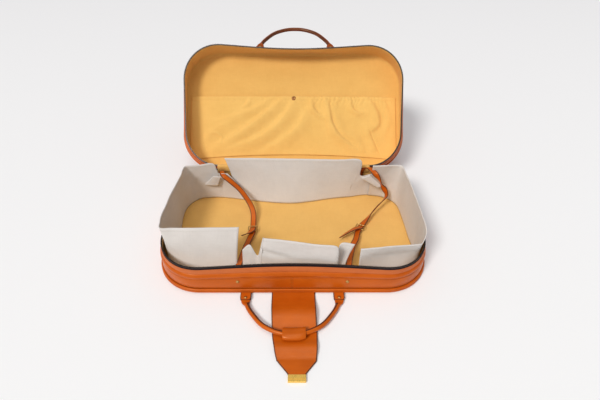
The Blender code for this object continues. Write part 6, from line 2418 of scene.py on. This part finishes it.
    def add_sleeve(self, tools: Tools) -> None:
        """Makes the leather sleeve round the middle of the bar."""
        fine = self.centre_line()
        x = np.linspace(
            -self.sleeve_length / 2, self.sleeve_length / 2, self.sleeve_rings
        ) + self.sleeve_shift
        order = np.argsort(fine[:, 0])
        run = np.interp(x, fine[order, 0], fine[order, 1])
        swell = 1 - self.sleeve_taper * np.abs(2 * (x - self.sleeve_shift) / self.sleeve_length) ** 6
        turn = 2 * math.pi * np.arange(self.sleeve_sides) / self.sleeve_sides

        def ring(place: float, y: float, wide: float, high: float) -> Rows:
            """One oval of the sleeve at a place along it."""
            across = np.full(self.sleeve_sides, place)
            return np.column_stack([across, y + wide * np.cos(turn), high * np.sin(turn)])

        outer = [
            ring(place, y, self.sleeve_half_width * size, self.sleeve_half_thickness * size)
            for place, y, size in zip(x, run, swell)
        ]
        inner_wide = self.sleeve_half_width - self.sleeve_wall
        inner_high = self.radius + self.sleeve_clearance
        inner = [ring(place, y, inner_wide, inner_high) for place, y in zip(x[::-1], run[::-1])]
        name = "front_handle_wrap"
        rings = np.stack(outer + inner)
        mesh = MeshKit.grid(name, rings, wrap_rows=True, wrap_columns=True, sharp=SOFT_SHARP)
        rims = np.zeros((2 * self.sleeve_rings, self.sleeve_sides), int)
        rims[[self.sleeve_rings - 1, -1]] = 1
        MeshKit.paint(mesh, rims)
        mesh.transform(self.place())
        MeshKit.outward(mesh)
        MeshKit.smoothed(mesh, SOFT_SHARP)
        finishes = tools.finishes
        ride = Ride(self.body)
        tools.bench.put(
            mesh.name, mesh, Slot.LEATHER, [finishes.leather, finishes.edge], ride, ["front_handle_sleeve"]
        )

    def build(self, tools: Tools) -> None:
        """Makes the whole handle."""
        self.add_grip(tools)
        for sign in (-1, 1):
            world_left = sign < 0 if self.label == "front" else sign > 0
            side = "left" if world_left else "right"
            node = f"{self.label}_{side}_chape_fold"
            self.add_chape(tools, sign * self.half_width, f"{self.label}_{side}_chape_leather", node)
            tools.bench.dress((f"{self.label}_{side}_chape_root",), tools.finishes.leather)
            tools.bench.dress((f"{self.label}_{side}_chape_rivet",), tools.finishes.aged_brass)
        if self.sleeved:
            self.add_sleeve(tools)


@dataclass
class ZipPull:
    """The zip's slider and the flat pull that hangs from it."""

    length: float = 0.0240
    width: float = 0.0066
    thickness: float = 0.0012
    slider: tuple[float, float, float] = (0.0095, 0.0040, 0.0085)
    slider_bevel: float = 0.0016
    bridge_seat: float = 0.0018
    bridge_rise: float = 0.0016
    bridge_half_length: float = 0.0030
    bridge_radius: float = 0.0006

    def build(self, tools: Tools) -> None:
        """Makes the slider with its bridge, and the pull."""
        low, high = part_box("zip_slider")
        pull_low, pull_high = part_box("zip_pull")
        joint = next(item for item in frame["joints"] if item["name"] == "zip_pull_swing")
        along = Vector(joint["axis"]).normalized()
        out = Vector((0, 0, 1)).cross(along)
        if out.dot(Vector((1, 1, 0))) < 0:
            out.negate()
        centre = (low + high) / 2
        turn = Matrix((along, out, Vector((0, 0, 1)))).transposed().to_4x4()
        place = Matrix.Translation(centre) @ turn
        brass = tools.finishes.brass
        body = MeshKit.box("zip_slider_body", self.slider, place, self.slider_bevel, 4)
        tools.bench.put(body.name, body, Slot.BRASS, [brass], Ride("base"), ["zip_slider"])
        angles = np.radians(np.linspace(0, 180, 13))
        rise = self.bridge_seat + self.bridge_rise * np.sin(angles)
        loop = np.column_stack([np.zeros(13), rise, self.bridge_half_length * np.cos(angles)])
        bridge = tube("zip_slider_bridge", loop, np.full(13, self.bridge_radius), 8)
        bridge.transform(place)
        tools.bench.put(bridge.name, MeshKit.outward(bridge), Slot.BRASS, [brass], Ride("base"))
        self.add_pull(tools, (pull_low + pull_high) / 2, turn, brass)

    def add_pull(self, tools: Tools, centre: Vector, turn: Matrix, brass: bpy.types.Material) -> None:
        """Makes the pull: a long drop with a round hole at each end of its slot."""
        angles = 2 * math.pi * np.arange(48) / 48
        outer = []
        inner = []
        for angle in angles:
            c, s = math.cos(angle), math.sin(angle)
            wide = self.width / 2 * (0.80 - 0.20 * s)
            outer.append((wide * c, self.length / 2 * math.copysign(abs(s) ** 0.75, s)))
            inner.append(
                (0.45 * wide * c, 0.30 * self.length * math.copysign(abs(s) ** 0.75, s) - 0.04 * self.length)
            )
        half = self.thickness / 2
        rows = []
        for points, depth in ((outer, -half), (outer, half), (inner, half), (inner, -half)):
            rows.append([(x, depth, z) for x, z in points])
        mesh = MeshKit.grid(
            "zip_pull_plate", np.array(rows), wrap_rows=True, wrap_columns=True, sharp=SOFT_SHARP
        )
        mesh.transform(Matrix.Translation(centre) @ turn)
        tools.bench.put(
            mesh.name, MeshKit.outward(mesh), Slot.BRASS, [brass], Ride("zip_pull"), ["zip_pull"]
        )


@dataclass(frozen=True)
class Sun:
    """A far lamp: the way toward it, its strength, how wide it looks and its colour."""

    name: str
    toward: tuple[float, float, float]
    strength: float
    angle: float
    colour: Colour


@dataclass
class Studio:
    """The pale floor, the soft light and the camera."""

    floor_size: float = 14.0
    near_white: float = 0.955
    far_white: float = 0.825
    near_y: float = -0.7
    far_y: float = 1.7
    ambient: float = 0.30
    suns: tuple[Sun, ...] = (
        Sun("studio_key", (-0.43, -0.52, 0.735), 1.86, math.radians(15), (1.0, 0.985, 0.965)),
        Sun("studio_fill", (-0.10, -0.55, 0.83), 0.48, math.radians(36), (1.0, 0.99, 0.98)),
        Sun("studio_top", (0.0, 0.05, 1.0), 0.42, math.radians(24), (0.98, 0.985, 1.0))
    )
    camera_place: tuple[float, float, float] = (-0.0006, -0.6827, 0.7325)
    pitch: float = math.radians(42.4212)
    yaw: float = math.radians(-1.1379)
    roll: float = math.radians(0.8764)
    lens: float = 27.0

    def add_floor(self) -> None:
        """A wide matt floor whose colour is painted greyer far away, as painted shade of the light falling
        off.
        """
        half = self.floor_size / 2
        mesh = bpy.data.meshes.new("studio_floor")
        corners = ((-half, -half, 0), (half, -half, 0), (half, half, 0), (-half, half, 0))
        mesh.from_pydata(corners, [], [(0, 1, 2, 3)])
        material = Material("studio_floor")
        sheet = material.sheet
        split = sheet.add("ShaderNodeSeparateXYZ")
        sheet.feed(split.inputs[0], material.place)
        # The floor's colour darkens from near_white to far_white with distance: painted shade for the light
        # falling off.
        share = sheet.ranged(split.outputs[1], self.near_y, self.far_y, 0, 1)
        near = (self.near_white,) * 3
        far = (self.far_white, self.far_white * 0.995, self.far_white * 1.005)
        material.set(Base_Color=sheet.mixed(share, near, far))
        material.set(Roughness=0.9, Specular_IOR_Level=0.1)
        mesh.materials.append(material.data)
        floor = bpy.data.objects.new("studio_floor", mesh)
        bpy.context.scene.collection.objects.link(floor)

    def add_world(self) -> None:
        """White beyond the floor for the camera and through glass, dimmer as a light."""
        world = bpy.data.worlds.new("studio_light")
        bpy.context.scene.world = world
        world.use_nodes = True
        sheet = NodeSheet(world.node_tree)
        world.node_tree.nodes.clear()
        path = sheet.add("ShaderNodeLightPath")
        seen = sheet.math("MAXIMUM", path.outputs["Is Camera Ray"], path.outputs["Is Transmission Ray"])
        lit = sheet.add("ShaderNodeBackground", {"Color": (0.985, 0.985, 1.0, 1), "Strength": self.ambient})
        plain = sheet.add("ShaderNodeBackground", {"Color": (*(self.far_white,) * 3, 1)})
        both = sheet.add("ShaderNodeMixShader")
        for socket, source in zip(both.inputs, (seen, lit.outputs[0], plain.outputs[0])):
            sheet.feed(socket, source)
        sheet.add("ShaderNodeOutputWorld", {"Surface": both.outputs[0]})

    def add_suns(self) -> None:
        """The soft far lamps."""
        for sun in self.suns:
            lamp = bpy.data.lights.new(sun.name, "SUN")
            lamp.energy = sun.strength
            lamp.angle = sun.angle
            lamp.color = sun.colour
            holder = bpy.data.objects.new(sun.name, lamp)
            holder.rotation_euler = (-Vector(sun.toward)).to_track_quat("-Z", "Y").to_euler()
            bpy.context.scene.collection.objects.link(holder)

    def add_camera(self) -> None:
        """The camera at the photograph's viewpoint."""
        forward = Vector(
            (
                -math.sin(self.yaw) * math.cos(self.pitch), math.cos(self.yaw) * math.cos(self.pitch),
                -math.sin(self.pitch)
            )
        )
        level = Vector((math.cos(self.yaw), math.sin(self.yaw), 0))
        above = level.cross(forward)
        right = level * math.cos(self.roll) + above * math.sin(self.roll)
        up = above * math.cos(self.roll) - level * math.sin(self.roll)
        data = bpy.data.cameras.new("photo_view")
        data.lens = self.lens
        data.sensor_width = 36.0
        camera = bpy.data.objects.new("photo_view", data)
        turn = Matrix((right, up, -forward)).transposed().to_4x4()
        camera.matrix_world = Matrix.Translation(self.camera_place) @ turn
        bpy.context.scene.collection.objects.link(camera)
        bpy.context.scene.camera = camera

    def build(self) -> None:
        """Sets the whole studio."""
        self.add_floor()
        self.add_world()
        self.add_suns()
        self.add_camera()
        bpy.context.scene.view_settings.view_transform = "Standard"


def main() -> None:
    """Builds the case's sub-assemblies in order, then the studio."""
    logging.basicConfig(level=logging.INFO, format="%(message)s")
    Studio().build()
    tools = Tools(Workbench(Finishes()), RowMaker())
    front_handle = CarryHandle(BASE, "front", "front_handle", -0.002, FRONT_HANDLE_TILT, True)
    lid_handle = CarryHandle(LID, "lid", "lid_handle", -0.0035, LID_HANDLE_TILT)
    tongue_notch = (0.0, 2 * TONGUE_HALF_WIDTH, TONGUE_ROOT_REACH)
    CaseHalf(BASE, "lower", "base", [*front_handle.notches(), tongue_notch]).build(tools)
    CaseHalf(LID, "upper", "lid", lid_handle.notches()).build(tools)
    Spine().build(tools)
    LidPocket().build(tools)
    DustWalls().build(tools)
    PackingStraps().build(tools)
    Tongue().build(tools)
    front_handle.build(tools)
    lid_handle.build(tools)
    ZipPull().build(tools)
    tools.bench.dress(("catch_plate", "catch_button"), tools.finishes.brass)


if __name__ == "__main__":
    main()
